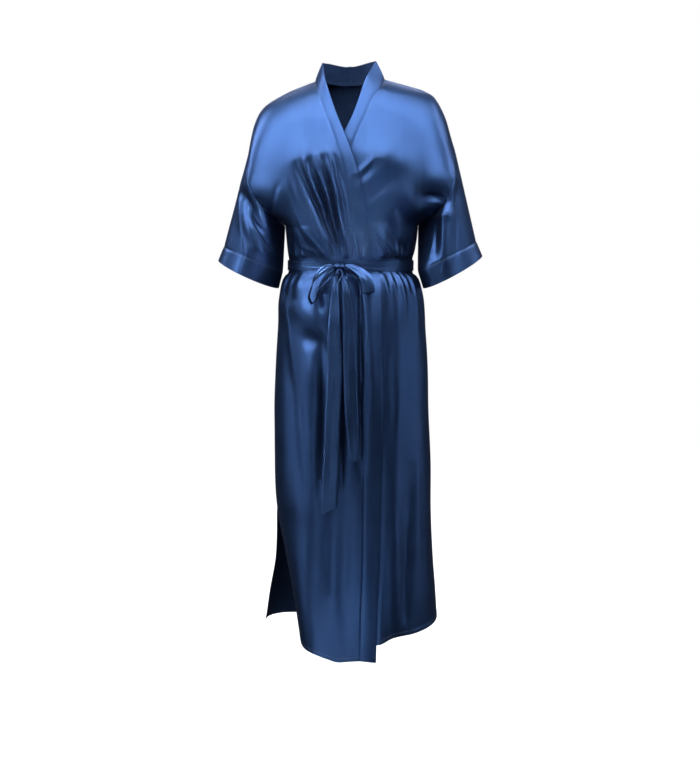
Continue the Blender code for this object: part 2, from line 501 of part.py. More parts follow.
class Cloth:
    """A piece of cloth: rows of points on the form, how far its outer face lies off them, a wall."""

    def __init__(self, name, points, lift=0.0, wall=PANEL_WALL, ring=False, flip=False):
        self.name = name
        self.points = points
        self.lift = np.zeros(points.shape[:2]) + lift
        self.wall = wall
        self.ring = ring
        self.normals = self.outward() * (-1 if flip else 1)

    def outward(self):
        """Unit directions square to the rows and columns."""
        points = self.points
        if self.ring:
            wide = np.concatenate([points[:, -1:], points, points[:, :1]], axis=1)
            across = np.gradient(wide, axis=1)[:, 1:-1]
        else:
            across = np.gradient(points, axis=1)
        down = np.gradient(points, axis=0)
        normal = np.cross(across, down)
        size = np.linalg.norm(normal, axis=-1, keepdims=True)
        return normal / np.maximum(size, 1e-12)

    def edge_cells(self):
        """The cells on the piece's seams and free edges."""
        edge = np.zeros(self.points.shape[:2], bool)
        edge[0] = True
        edge[-1] = True
        if not self.ring:
            edge[:, 0] = True
            edge[:, -1] = True
        return edge

    def trimmed(self, faces):
        """Draws the edges in along the cloth, so that neighbours stay a seam's gap apart."""
        drawn = faces.copy()
        for edge, inner in ((0, 1), (-1, -2)):
            drawn[edge] += drawn_in(faces[edge], faces[inner])
            if not self.ring:
                drawn[:, edge] += drawn_in(faces[:, edge], faces[:, inner])
        return drawn

    def build(self, collection, material):
        """Makes the closed wall between the outer and the inner face."""
        outer = self.trimmed(self.points + self.normals * self.lift[..., None])
        inner = self.trimmed(self.points + self.normals * (self.lift - self.wall)[..., None])
        rows, columns = outer.shape[:2]
        mesh = bmesh.new()
        grid = [[[mesh.verts.new(face[r, c]) for c in range(columns)] for r in range(rows)]
                for face in (outer, inner)]
        last = columns if self.ring else columns - 1
        for r in range(rows - 1):
            for c in range(last):
                d = (c + 1) % columns
                for face in grid:
                    mesh.faces.new((face[r][c], face[r][d], face[r + 1][d], face[r + 1][c]))
        for r in (0, rows - 1):
            for c in range(last):
                d = (c + 1) % columns
                mesh.faces.new((grid[0][r][c], grid[0][r][d], grid[1][r][d], grid[1][r][c]))
        if not self.ring:
            for c in (0, columns - 1):
                for r in range(rows - 1):
                    mesh.faces.new((grid[0][r][c], grid[0][r + 1][c], grid[1][r + 1][c], grid[1][r][c]))
        # Facing rims are split along the same diagonal, so that they stay parallel
        bmesh.ops.triangulate(mesh, faces=mesh.faces, quad_method="SHORT_EDGE")
        bmesh.ops.recalc_face_normals(mesh, faces=mesh.faces)
        data = bpy.data.meshes.new(self.name)
        mesh.to_mesh(data)
        mesh.free()
        data.materials.append(material)
        data.shade_smooth()
        data.set_sharp_from_angle(angle=math.radians(SHARP_EDGE))
        made = bpy.data.objects.new(self.name, data)
        collection.objects.link(made)


def share_seams(pieces):
    """Gives neighbours the same outward direction where their edges meet."""
    total = {}
    spots = []
    for piece in pieces:
        for r, c in np.argwhere(piece.edge_cells()):
            key = tuple(np.round(piece.points[r, c], 5))
            total[key] = total.get(key, 0) + piece.normals[r, c]
            spots.append((piece, r, c, key))
    # Where a seam folds back on itself, as at the underarm, each side keeps its own direction
    for piece, r, c, key in spots:
        mean = total[key] / max(np.linalg.norm(total[key]), 1e-9)
        if mean @ piece.normals[r, c] > SMOOTH_SEAM:
            piece.normals[r, c] = mean


def right_front():
    """The right front panel, on top, from its side seam to the seam of the neckband."""
    level = np.array(LEVELS)
    seam = find_side(RIGHT_BAND, "seam", level, RIGHT_FRONT_HEM)
    share = np.linspace(0, 1, SIDE_COLUMNS + 1)
    side = -1 + (seam[:, None] + 1) * share
    points = form(-1, side, level[:, None], RIGHT_FRONT_HEM)
    height = relief(-1, points, side, level[:, None])
    over = over_lift(points) * PANEL_LIFT
    return points, side, height + over, seam


def left_front():
    """The left front panel, underneath, from the seam of the neckband to its side seam."""
    level = np.array(LEVELS)
    seam = find_side(LEFT_BAND, "seam", level, LEFT_FRONT_HEM)
    crossing = find_side(RIGHT_BAND, "edge", level, LEFT_FRONT_HEM)
    tucked = TUCK_COLUMNS / (SIDE_COLUMNS + TUCK_COLUMNS)
    shown = np.maximum(crossing + UNDER_SHOWN, seam + (1 - seam) * tucked)
    tuck = np.linspace(0, 1, TUCK_COLUMNS + 1)[:-1]
    share = np.linspace(0, 1, SIDE_COLUMNS + 1)
    side = np.concatenate([seam[:, None] + (shown - seam)[:, None] * tuck,
                           shown[:, None] + (1 - shown)[:, None] * share], axis=1)
    points = form(-1, side, level[:, None], LEFT_FRONT_HEM)
    height = relief(-1, points, side, level[:, None])
    return points, side, under_lift(points, height), seam


def back(right_sides, left_sides):
    """The back panel, in one piece, from one side seam to the other."""
    share = np.linspace(0, 1, NECK_COLUMNS + 1)
    side = np.concatenate([right_sides, right_sides[-1] * (1 - share[1:]), left_sides[0] * share[1:-1],
                           left_sides])
    neck_half = np.where(side < 0, -right_sides[-1], left_sides[0])
    top = BACK_NECK_LEVEL * np.cos(math.pi / 2 * np.clip(np.abs(side) / neck_half, 0, 1))
    level = np.array(LEVELS)[:, None]
    level = np.where(level < 1, top + (1 - top) * level, level)
    points = form(1, side + level * 0, level, BACK_HEM)
    height = relief(1, points, side + level * 0, level)
    return points, side, height, top


def band(hand, table, seam, hem, back_side, back_top):
    """Half of the neckband, from the middle of the back round the neck and down one front."""
    level = np.array(LEVELS)
    edge = find_side(table, "edge", level, hem)
    share = np.linspace(0, 1, BAND_COLUMNS + 1)
    side = seam[:, None] + (edge - seam)[:, None] * share
    front = form(-1, side, level[:, None], hem)
    front_height = relief(-1, front, side, level[:, None])
    front[..., 2] += smooth(STAND, "level", "rise", level)[:, None] * share
    # Round the back of the neck it stands up and leans in
    neck = back_side * hand >= -1e-9
    neck &= np.abs(back_side) < np.abs(seam[0]) - 1e-6
    sides = back_side[neck]
    tops = back_top[neck]
    order = np.argsort(np.abs(sides))
    foot = form(1, sides[order], tops[order], BACK_HEM)
    head = foot * np.array([NECK_LEAN, NECK_LEAN, 1]) + np.array([0, 0, NECK_RISE])
    behind = foot[:, None] + (head - foot)[:, None] * share[:, None]
    points = np.concatenate([behind, front])
    lift = np.concatenate([np.zeros(behind.shape[:2]), front_height])
    if hand < 0:
        return points, lift + over_lift(points) * BAND_LIFT
    return points, under_lift(points, lift)


def sleeve_ring(sign, share, cuff_share):
    """One ring of a sleeve: share 0 at the armhole, 1 at the cuff's seam, then down the cuff."""
    level = np.array(YOKE_LEVELS)
    front = form(-1, np.full(len(level), float(sign)), level, RIGHT_FRONT_HEM)
    behind = form(1, np.full(len(level), float(sign)), level, BACK_HEM)
    arm = np.concatenate([front, behind[-2:0:-1]])
    angle = math.pi * np.concatenate([level, 2 - level[-2:0:-1]])
    cuff = CUFFS[sign]
    out_x = cuff.seam_out + (cuff.edge_out - cuff.seam_out) * cuff_share
    out_z = cuff.seam_out_z + (cuff.edge_out_z - cuff.seam_out_z) * cuff_share
    in_x = cuff.seam_in + (cuff.edge_in - cuff.seam_in) * cuff_share
    in_z = cuff.seam_in_z + (cuff.edge_in_z - cuff.seam_in_z) * cuff_share
    near = (1 + np.cos(angle)) / 2
    x = sign * (in_x + (out_x - in_x) * near)
    z = in_z + (out_z - in_z) * near
    y = -CUFF_DEPTH * np.sin(angle) - cuff.forward * (1 - near)
    z -= CUFF_DROOP * cuff_share * np.sin(angle)
    end = np.stack([x, y, z], axis=-1)
    return arm + (end - arm) * share


def sleeve_relief(points):
    """The folds that run on over the armhole seam, front and back."""
    front = fold_heights(points, FRONT_FOLDS)
    behind = fold_heights(points, BACK_FOLDS)
    y = points[..., 1]
    height = np.where(y < 0, front, behind) * ramp(np.abs(y), 0, RELIEF_FADE_Y)
    return height * away_from_underarm(points)


def sleeve_points(sign):
    """Rings of a sleeve and of its cuff."""
    sleeve = np.stack([sleeve_ring(sign, k / SLEEVE_RINGS, 0) for k in range(SLEEVE_RINGS + 1)])
    cuff = np.stack([sleeve_ring(sign, 1, k / CUFF_RINGS) for k in range(CUFF_RINGS + 1)])
    return sleeve, cuff


def belt_points():
    """The belt round the waist, from one side of the knot round the back to the other."""
    front_right = np.arange(KNOT_RIGHT_SIDE, -1, -BELT_STEP)
    around = np.arange(-1, 1, BELT_STEP)
    front_left = np.arange(1, KNOT_LEFT_SIDE, -BELT_STEP)
    stops = ([(-1, s) for s in front_right] + [(1, s) for s in around]
             + [(-1, s) for s in front_left] + [(-1, KNOT_LEFT_SIDE)])
    rows = []
    lifts = []
    for face, side in stops:
        edge = side if face < 0 else math.copysign(1, side)
        top = float(smooth(BELT_EDGES, "side", "front_top", edge))
        bottom = float(smooth(BELT_EDGES, "side", "front_bottom", edge))
        heights = np.linspace(top, bottom, POINTS_ACROSS)
        row = form(face, side, [level_of(z) for z in heights], BELT_HEM)
        rows.append(row)
        # It lies over both fronts, and steps down to the left one past the neckband
        over = over_lift(row) * (1 - ramp(row[:, 0], *BELT_STEP_DOWN)) * (face < 0)
        lifts.append(over * BAND_LIFT + LAYER_GAP + BELT_WALL)
    return np.stack(rows), np.stack(lifts)


def catmull(values, count):
    """Evenly spaced stations on a smooth curve through the rows of a table."""
    values = np.array([tuple(v) for v in values], float)
    gaps = np.linalg.norm(np.diff(values[:, :3], axis=0), axis=1)
    length = np.concatenate([[0], np.cumsum(gaps)])
    slope = np.gradient(values, length, axis=0)
    at = np.linspace(0, length[-1], count)
    i = np.clip(np.searchsorted(length, at) - 1, 0, len(length) - 2)
    span = (length[i + 1] - length[i])[:, None]
    t = ((at - length[i])[:, None]) / span
    return (values[i] * (1 + 2 * t) * (1 - t) ** 2 + values[i + 1] * t * t * (3 - 2 * t)
            + span * t * (1 - t) * (slope[i] * (1 - t) - slope[i + 1] * t))


def ribbon_points(table, count):
    """A ribbon along a route: three points across it at each station."""
    rows = catmull(table, count)
    middle = rows[:, :3]
    along = np.gradient(middle, axis=0)
    along /= np.linalg.norm(along, axis=1, keepdims=True)
    lean = np.radians(rows[:, 4])
    swing = np.radians(rows[:, 5])
    across = np.stack([np.cos(lean) * np.sin(swing), np.cos(lean) * np.cos(swing), np.sin(lean)], axis=1)
    across -= (across * along).sum(axis=1, keepdims=True) * along
    across /= np.linalg.norm(across, axis=1, keepdims=True)
    half = rows[:, 3:4] / 2
    return np.stack([middle - across * half, middle, middle + across * half], axis=1)


def tail_points(table, slant):
    """A tail of the belt hanging on the skirt, clear of the folds beneath it."""
    rows = catmull([(row.x, 0.0, row.z, row.width, row.clear) for row in table], TAIL_ROWS)
    made = []
    for index, (x, _, z, width, clear) in enumerate(rows):
        share = index / (TAIL_ROWS - 1)
        across = np.linspace(-0.5, 0.5, POINTS_ACROSS)
        xs = x + width * across
        zs = z - slant * across * share ** SLANT_POWER
        depth = float(smooth(SECTIONS, "z", "front", z))
        wide = float(smooth(SECTIONS, "z", "front_out", z))
        probe = np.stack([xs, xs * 0 - depth, zs], axis=-1)
        side = np.arcsin(xs / wide) / (math.pi / 2)
        rise = relief(-1, probe, side, level_of(z))
        front = -depth * (1 - (xs / wide) ** 2) ** (ROUNDNESS / 2)
        stand = BAND_LIFT + clear + RIBBON_WALL + max(0, rise.max())
        made.append(np.stack([xs, xs * 0 + front.min() - stand, zs], axis=-1))
    made = np.array(made)
    for _ in range(TAIL_EASING):
        depth = made[:, :, 1]
        eased = depth.copy()
        eased[1:-1] = (depth[:-2] + depth[1:-1] + depth[2:]) / 3
        made[:, :, 1] = np.minimum(depth, eased)
    return made


def clear_scene():
    """Removes what a new file holds."""
    for item in list(bpy.data.objects):
        bpy.data.objects.remove(item)


def satin(name, colour):
    """Glossy woven polyester."""
    material = bpy.data.materials.new(name)
    material.use_nodes = True
    shader = material.node_tree.nodes["Principled BSDF"]
    shader.inputs["Base Color"].default_value = (*colour, 1)
    shader.inputs["Roughness"].default_value = 0.35
    shader.inputs["Metallic"].default_value = 0.4
    return material


def knot(collection, material):
    """The knot of the belt: a small round lump of cloth."""
    bpy.ops.mesh.primitive_uv_sphere_add(segments=16, ring_count=9, radius=1)
    lump = bpy.context.active_object
    lump.name = "belt_knot"
    for vertex in lump.data.vertices:
        x, y, z = vertex.co
        pinch = 1 - KNOT_CREASE * math.cos(KNOT_CREASES * math.atan2(z, y)) * (1 - x * x)
        vertex.co = (x * KNOT_SIZE[0], y * KNOT_SIZE[1] * pinch, z * KNOT_SIZE[2] * pinch)
    lump.location = KNOT_CENTRE
    lump.data.materials.append(material)
    lump.data.shade_smooth()
    for owner in list(lump.users_collection):
        owner.objects.unlink(lump)
    collection.objects.link(lump)


def make_robe():
    """Builds every piece and names it."""
    clear_scene()
    collection = bpy.data.collections.new("satin_robe")
    bpy.context.scene.collection.children.link(collection)
    body = satin("robe_satin", (0.030, 0.100, 0.330))
    trim = satin("belt_satin", (0.032, 0.105, 0.340))

    right, right_side, right_lift, right_seam = right_front()
    left, left_side, left_lift, left_seam = left_front()
    rear, rear_side, rear_lift, rear_top = back(right_side[0], left_side[0])
    right_band, right_band_lift = band(-1, RIGHT_BAND, right_seam, RIGHT_FRONT_HEM, rear_side, rear_top)
    left_band, left_band_lift = band(1, LEFT_BAND, left_seam, LEFT_FRONT_HEM, rear_side, rear_top)
    pieces = [
        Cloth("front_right", right, right_lift, flip=True),
        Cloth("front_left", left, left_lift, flip=True),
        Cloth("back", rear, rear_lift),
        Cloth("neckband_right", right_band, right_band_lift, BAND_WALL, flip=True),
        Cloth("neckband_left", left_band, left_band_lift, BAND_WALL),
    ]
    for sign, hand in ((-1, "right"), (1, "left")):
        sleeve, cuff = sleeve_points(sign)
        pieces.append(Cloth("sleeve_" + hand, sleeve, sleeve_relief(sleeve), ring=True, flip=sign < 0))
        pieces.append(Cloth("cuff_" + hand, cuff, sleeve_relief(cuff), BAND_WALL, ring=True, flip=sign < 0))
    share_seams(pieces)

    belt, belt_lift = belt_points()
    pieces.append(Cloth("belt_waist", belt, belt_lift, BELT_WALL, flip=True))
    for name, route in (("bow_right", BOW_RIGHT), ("bow_left", BOW_LEFT), ("knot_loop", KNOT_LOOP)):
        pieces.append(Cloth(name, ribbon_points(route, RIBBON_STATIONS), wall=RIBBON_WALL))
    for name, route, slant in (("tail_long", LONG_TAIL, LONG_TAIL_SLANT),
                               ("tail_short", SHORT_TAIL, SHORT_TAIL_SLANT)):
        pieces.append(Cloth(name, tail_points(route, slant), wall=RIBBON_WALL, flip=True))
    belted = ("belt", "bow", "knot", "tail")
    for piece in pieces:
        piece.build(collection, trim if piece.name.startswith(belted) else body)
    knot(collection, trim)


make_robe()
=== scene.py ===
# %% [markdown]
# # A long satin wrap robe
# This script dresses a robe whose solid model is already made. The solids fix where every piece
# of cloth lies. Here each piece is made again as thin satin with its creases, seams, hems and
# stitching, and then the robe is lit and framed. Lengths are in metres, +Z is up, the front faces
# -Y, and the wearer's right is at -X.

# %% Load the solids
import math
from collections import namedtuple

import bmesh
import bpy
import numpy as np
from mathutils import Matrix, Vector


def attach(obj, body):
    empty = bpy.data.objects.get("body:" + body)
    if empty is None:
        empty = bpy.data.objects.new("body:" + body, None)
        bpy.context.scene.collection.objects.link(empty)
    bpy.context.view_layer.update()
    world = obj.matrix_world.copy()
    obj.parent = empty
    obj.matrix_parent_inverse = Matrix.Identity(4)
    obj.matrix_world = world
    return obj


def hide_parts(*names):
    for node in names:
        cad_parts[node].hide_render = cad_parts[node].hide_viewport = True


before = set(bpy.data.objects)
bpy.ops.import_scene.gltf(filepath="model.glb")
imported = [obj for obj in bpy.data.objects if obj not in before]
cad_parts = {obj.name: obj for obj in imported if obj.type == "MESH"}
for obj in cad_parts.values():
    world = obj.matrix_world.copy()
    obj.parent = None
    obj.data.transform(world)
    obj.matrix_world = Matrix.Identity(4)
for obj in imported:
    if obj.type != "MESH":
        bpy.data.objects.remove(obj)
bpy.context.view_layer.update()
print("solids loaded:", len(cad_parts), "pieces of cloth")

# %% [markdown]
# ## The form
# A robe in wear is one smooth form with folds pressed into it, so every piece is drawn from the
# same form and its edges meet. The form is a few named tables, read as soft curves: where the
# shoulders drop, how the armhole runs, how wide and deep the body is at each height.
# Two numbers find a point on it. "side" runs from -1 at the wearer's right to +1 at the left.
# "level" runs from 0 at the shoulder to 1 at the underarm, 2 at the belt and 3 at the hem.

# %% Tables of the form
# How thick the solids' walls are, and how far the pieces that lie on others are lifted
PANEL_WALL = 0.0016
BAND_WALL = 0.0020
BELT_WALL = 0.0016
RIBBON_WALL = 0.0014
LAYER_GAP = 0.0012
TUCK_DEPTH = 0.0030
BAND_LIFT = LAYER_GAP + BAND_WALL
PANEL_LIFT = LAYER_GAP + PANEL_WALL

# Heights of the main levels
UNDERARM_Z = -0.320
BELT_Z = -0.405
SLIT_Z = -0.940
HEM_Z = -1.220

# The shoulder line: share of the way out to the armhole, and the drop of each shoulder
Shoulder = namedtuple("Shoulder", "out drop_right drop_left")
SHOULDER = [
    Shoulder(0.00, 0.000, 0.000),
    Shoulder(0.35, 0.013, 0.009),
    Shoulder(0.57, 0.029, 0.021),
    Shoulder(0.73, 0.047, 0.034),
    Shoulder(0.80, 0.057, 0.046),
    Shoulder(0.865, 0.070, 0.070),
    Shoulder(0.913, 0.086, 0.095),
    Shoulder(0.96, 0.114, 0.132),
    Shoulder(1.00, 0.161, 0.161),
]

# The armhole seam, from the top of the shoulder to the underarm
Armhole = namedtuple("Armhole", "level out_right out_left front back height turn")
ARMHOLE = [
    Armhole(0.0, 0.2185, 0.2287, 0.000, 0.000, -0.161, 48),
    Armhole(0.2, 0.2185, 0.2240, 0.036, 0.036, -0.178, 50),
    Armhole(0.4, 0.2170, 0.2205, 0.062, 0.060, -0.205, 54),
    Armhole(0.6, 0.2090, 0.2140, 0.073, 0.072, -0.241, 62),
    Armhole(0.8, 0.1830, 0.1900, 0.063, 0.063, -0.285, 75),
    Armhole(1.0, 0.1400, 0.1476, 0.000, 0.000, UNDERARM_Z, 90),
]

# The middle line of the form from the neck to the underarm level, front and back
Middle = namedtuple("Middle", "level front front_height back back_height")
MIDDLE = [
    Middle(0.0, 0.000, 0.000, 0.000, 0.000),
    Middle(0.1, 0.042, -0.022, 0.038, -0.004),
    Middle(0.2, 0.070, -0.050, 0.066, -0.014),
    Middle(0.3, 0.089, -0.083, 0.082, -0.040),
    Middle(0.4, 0.102, -0.118, 0.093, -0.076),
    Middle(0.6, 0.118, -0.187, 0.106, -0.155),
    Middle(0.8, 0.125, -0.255, 0.109, -0.238),
    Middle(1.0, 0.125, UNDERARM_Z, 0.104, UNDERARM_Z),
]
BACK_NECK_LEVEL = 0.2

# Sections below the underarm: where the side edges of the front and back lie on the wearer's
# right, how wide the left is, and how deep the front and back are. Below the slit the right
# front swings inward and the right back swings out.
Section = namedtuple("Section", "z front_out front_in back_out back_in left front back")
SECTIONS = [
    Section(UNDERARM_Z, 0.1400, 0.000, 0.1400, 0.000, 0.1476, 0.125, 0.104),
    Section(-0.350, 0.1375, 0.000, 0.1375, 0.000, 0.1445, 0.122, 0.101),
    Section(-0.375, 0.1350, 0.000, 0.1350, 0.000, 0.1400, 0.116, 0.096),
    Section(-0.392, 0.1325, 0.000, 0.1325, 0.000, 0.1355, 0.111, 0.091),
    Section(-0.418, 0.1330, 0.000, 0.1330, 0.000, 0.1355, 0.110, 0.090),
    Section(-0.440, 0.1440, 0.000, 0.1440, 0.000, 0.1480, 0.120, 0.100),
    Section(-0.480, 0.1530, 0.000, 0.1530, 0.000, 0.1600, 0.127, 0.112),
    Section(-0.545, 0.1575, 0.000, 0.1575, 0.000, 0.1650, 0.133, 0.126),
    Section(-0.611, 0.1620, 0.000, 0.1620, 0.000, 0.1695, 0.137, 0.134),
    Section(-0.720, 0.1660, 0.000, 0.1660, 0.000, 0.1725, 0.140, 0.136),
    Section(-0.840, 0.1660, 0.000, 0.1660, 0.000, 0.1780, 0.143, 0.138),
    Section(SLIT_Z, 0.1605, 0.000, 0.1620, 0.000, 0.1790, 0.148, 0.143),
    Section(-1.047, 0.1380, -0.034, 0.1650, 0.006, 0.1840, 0.154, 0.150),
    Section(-1.130, 0.1210, -0.062, 0.1790, 0.016, 0.1905, 0.158, 0.157),
    Section(-1.260, 0.0970, -0.088, 0.1980, 0.030, 0.1980, 0.161, 0.166),
]
ROUNDNESS = 0.85

print("form:", len(ARMHOLE), "armhole rows,", len(SECTIONS), "sections below the underarm")

# %% Hems
# The hems, by how far round the piece they are
Hem = namedtuple("Hem", "side z")
RIGHT_FRONT_HEM = [Hem(-1.0, -1.206), Hem(-0.9, -1.211), Hem(-0.51, -1.2255), Hem(-0.33, -1.2345),
                   Hem(-0.15, -1.2425), Hem(0.06, -1.2405), Hem(0.18, -1.2448), Hem(1.0, -1.2448)]
LEFT_FRONT_HEM = [Hem(-1.0, -1.2000), Hem(0.0, -1.2080), Hem(0.19, -1.2084), Hem(0.32, -1.1955),
                  Hem(0.51, -1.1925), Hem(0.80, -1.1850), Hem(1.0, -1.1800)]
BACK_HEM = [Hem(-1.0, -1.203), Hem(-0.6, -1.213), Hem(-0.3, -1.221), Hem(0.0, -1.222),
            Hem(0.5, -1.210), Hem(1.0, -1.180)]
# The belt is drawn on a form whose hem is level all round
BELT_HEM = [Hem(-1.0, HEM_Z), Hem(1.0, HEM_Z)]
print("the hem falls from", LEFT_FRONT_HEM[-1].z, "at the left to", RIGHT_FRONT_HEM[-1].z, "in front")

# %% [markdown]
# ## Reading the tables
# A short table gives only a few heights, so a curve is laid through it. A plain spline can
# overshoot between two rows and put a bump in the cloth. Here each slope is held to its
# neighbours', which keeps the curve between its rows.

# %% Read a smooth curve through a table
# A slope is held to this many times its neighbours', and level at a peak, so nothing overshoots
STEEPEST = 3


def column(table, name):
    """One named column of a table."""
    return [getattr(row, name) for row in table]


def between(start, end, leave, arrive, span, t):
    """A soft curve from one value to the next, with the slopes that it leaves and arrives at."""
    return (start * (1 + 2 * t) * (1 - t) ** 2 + end * t * t * (3 - 2 * t)
            + span * t * (1 - t) * (leave * (1 - t) - arrive * t))


def smooth(table, across, name, at):
    """Reads a smooth curve through one column of a short table, held flat past its ends."""
    xs = np.array(column(table, across), float)
    ys = np.array(column(table, name), float)
    order = np.argsort(xs)
    xs = xs[order]
    ys = ys[order]
    rise = np.diff(ys) / np.diff(xs)
    slope = np.concatenate([rise[:1], (rise[:-1] + rise[1:]) / 2, rise[-1:]])
    least = np.minimum(np.abs(np.append(rise[:1], rise)), np.abs(np.append(rise, rise[-1:])))
    peak = np.append(rise[:1], rise) * np.append(rise, rise[-1:]) <= 0
    slope = np.where(peak, 0, np.clip(slope, -STEEPEST * least, STEEPEST * least))
    at = np.clip(at, xs[0], xs[-1])
    i = np.clip(np.searchsorted(xs, at) - 1, 0, len(xs) - 2)
    span = xs[i + 1] - xs[i]
    return between(ys[i], ys[i + 1], slope[i], slope[i + 1], span, (at - xs[i]) / span)


def ramp(value, start, end):
    """Goes softly from 0 at start to 1 at end."""
    t = np.clip((value - start) / (end - start), 0, 1)
    return t * t * (3 - 2 * t)


print("shoulder drop half way out:", round(float(smooth(SHOULDER, "out", "drop_left", 0.5)), 4), "m")

# %% Points of the form
HALVINGS = 40


def level_of(z):
    """The level of a height below the underarm, on a piece whose hem is at HEM_Z."""
    if z > BELT_Z:
        return 1 + (UNDERARM_Z - z) / (UNDERARM_Z - BELT_Z)
    return 2 + (BELT_Z - z) / (BELT_Z - HEM_Z)


def form(face, side, level, hem):
    """Points of the undraped form on the front (face -1) or back (face 1)."""
    side, level = np.broadcast_arrays(np.asarray(side, float), np.asarray(level, float))
    right = side < 0
    name = "front" if face < 0 else "back"
    # Above the underarm the rows run from the middle line to the armhole
    turn = np.radians(smooth(ARMHOLE, "level", "turn", level))
    angle = np.abs(side) * turn
    out = np.sin(angle) / np.sin(turn)
    deep = np.cos(angle) ** ROUNDNESS
    deep_end = np.cos(turn).clip(0) ** ROUNDNESS
    reach = np.where(right, smooth(ARMHOLE, "level", "out_right", level),
                     smooth(ARMHOLE, "level", "out_left", level))
    arm_y = smooth(ARMHOLE, "level", name, level)
    arm_z = smooth(ARMHOLE, "level", "height", level)
    mid_y = smooth(MIDDLE, "level", name, level)
    mid_z = smooth(MIDDLE, "level", name + "_height", level)
    drop = np.where(right, smooth(SHOULDER, "out", "drop_right", out),
                    smooth(SHOULDER, "out", "drop_left", out)) / SHOULDER[-1].drop_left
    high_x = reach * out
    high_y = arm_y + (mid_y - arm_y) * (deep - deep_end) / (1 - deep_end)
    high_z = mid_z + (arm_z - mid_z) * drop
    # Below it they are level sections down to the belt, then spread out down to the hem
    hem_z = smooth(hem, "side", "z", side)
    low_z = np.where(level < 2, UNDERARM_Z + (BELT_Z - UNDERARM_Z) * (level - 1),
                     BELT_Z + (hem_z - BELT_Z) * (level - 2))
    angle = np.abs(side) * math.pi / 2
    edge_x = np.where(right, smooth(SECTIONS, "z", name + "_out", low_z),
                      smooth(SECTIONS, "z", "left", low_z))
    edge_y = np.where(right, smooth(SECTIONS, "z", name + "_in", low_z), 0)
    depth = smooth(SECTIONS, "z", name, low_z)
    low_x = edge_x * np.sin(angle)
    middle = edge_y * np.sin(angle) ** 2
    low_y = middle + face * depth * np.cos(angle).clip(0) ** ROUNDNESS
    yoke = level <= 1
    x = np.where(yoke, high_x, low_x) * np.where(right, -1, 1)
    y = np.where(yoke, face * high_y, low_y)
    z = np.where(yoke, high_z, low_z)
    return np.stack([x, y, z], axis=-1)


def find_side(table, name, level, hem):
    """How far round the front a line lies that is given by its x at each height."""
    low = np.full(len(level), -0.99)
    high = np.full(len(level), 0.99)
    for _ in range(HALVINGS):
        middle = (low + high) / 2
        point = form(-1, middle, level, hem)
        beyond = point[:, 0] > smooth(table, "z", name, point[:, 2])
        high = np.where(beyond, middle, high)
        low = np.where(beyond, low, middle)
    return (low + high) / 2


print("half way to the belt the form is", np.round(form(-1, 0.5, 1.5, BELT_HEM), 3))
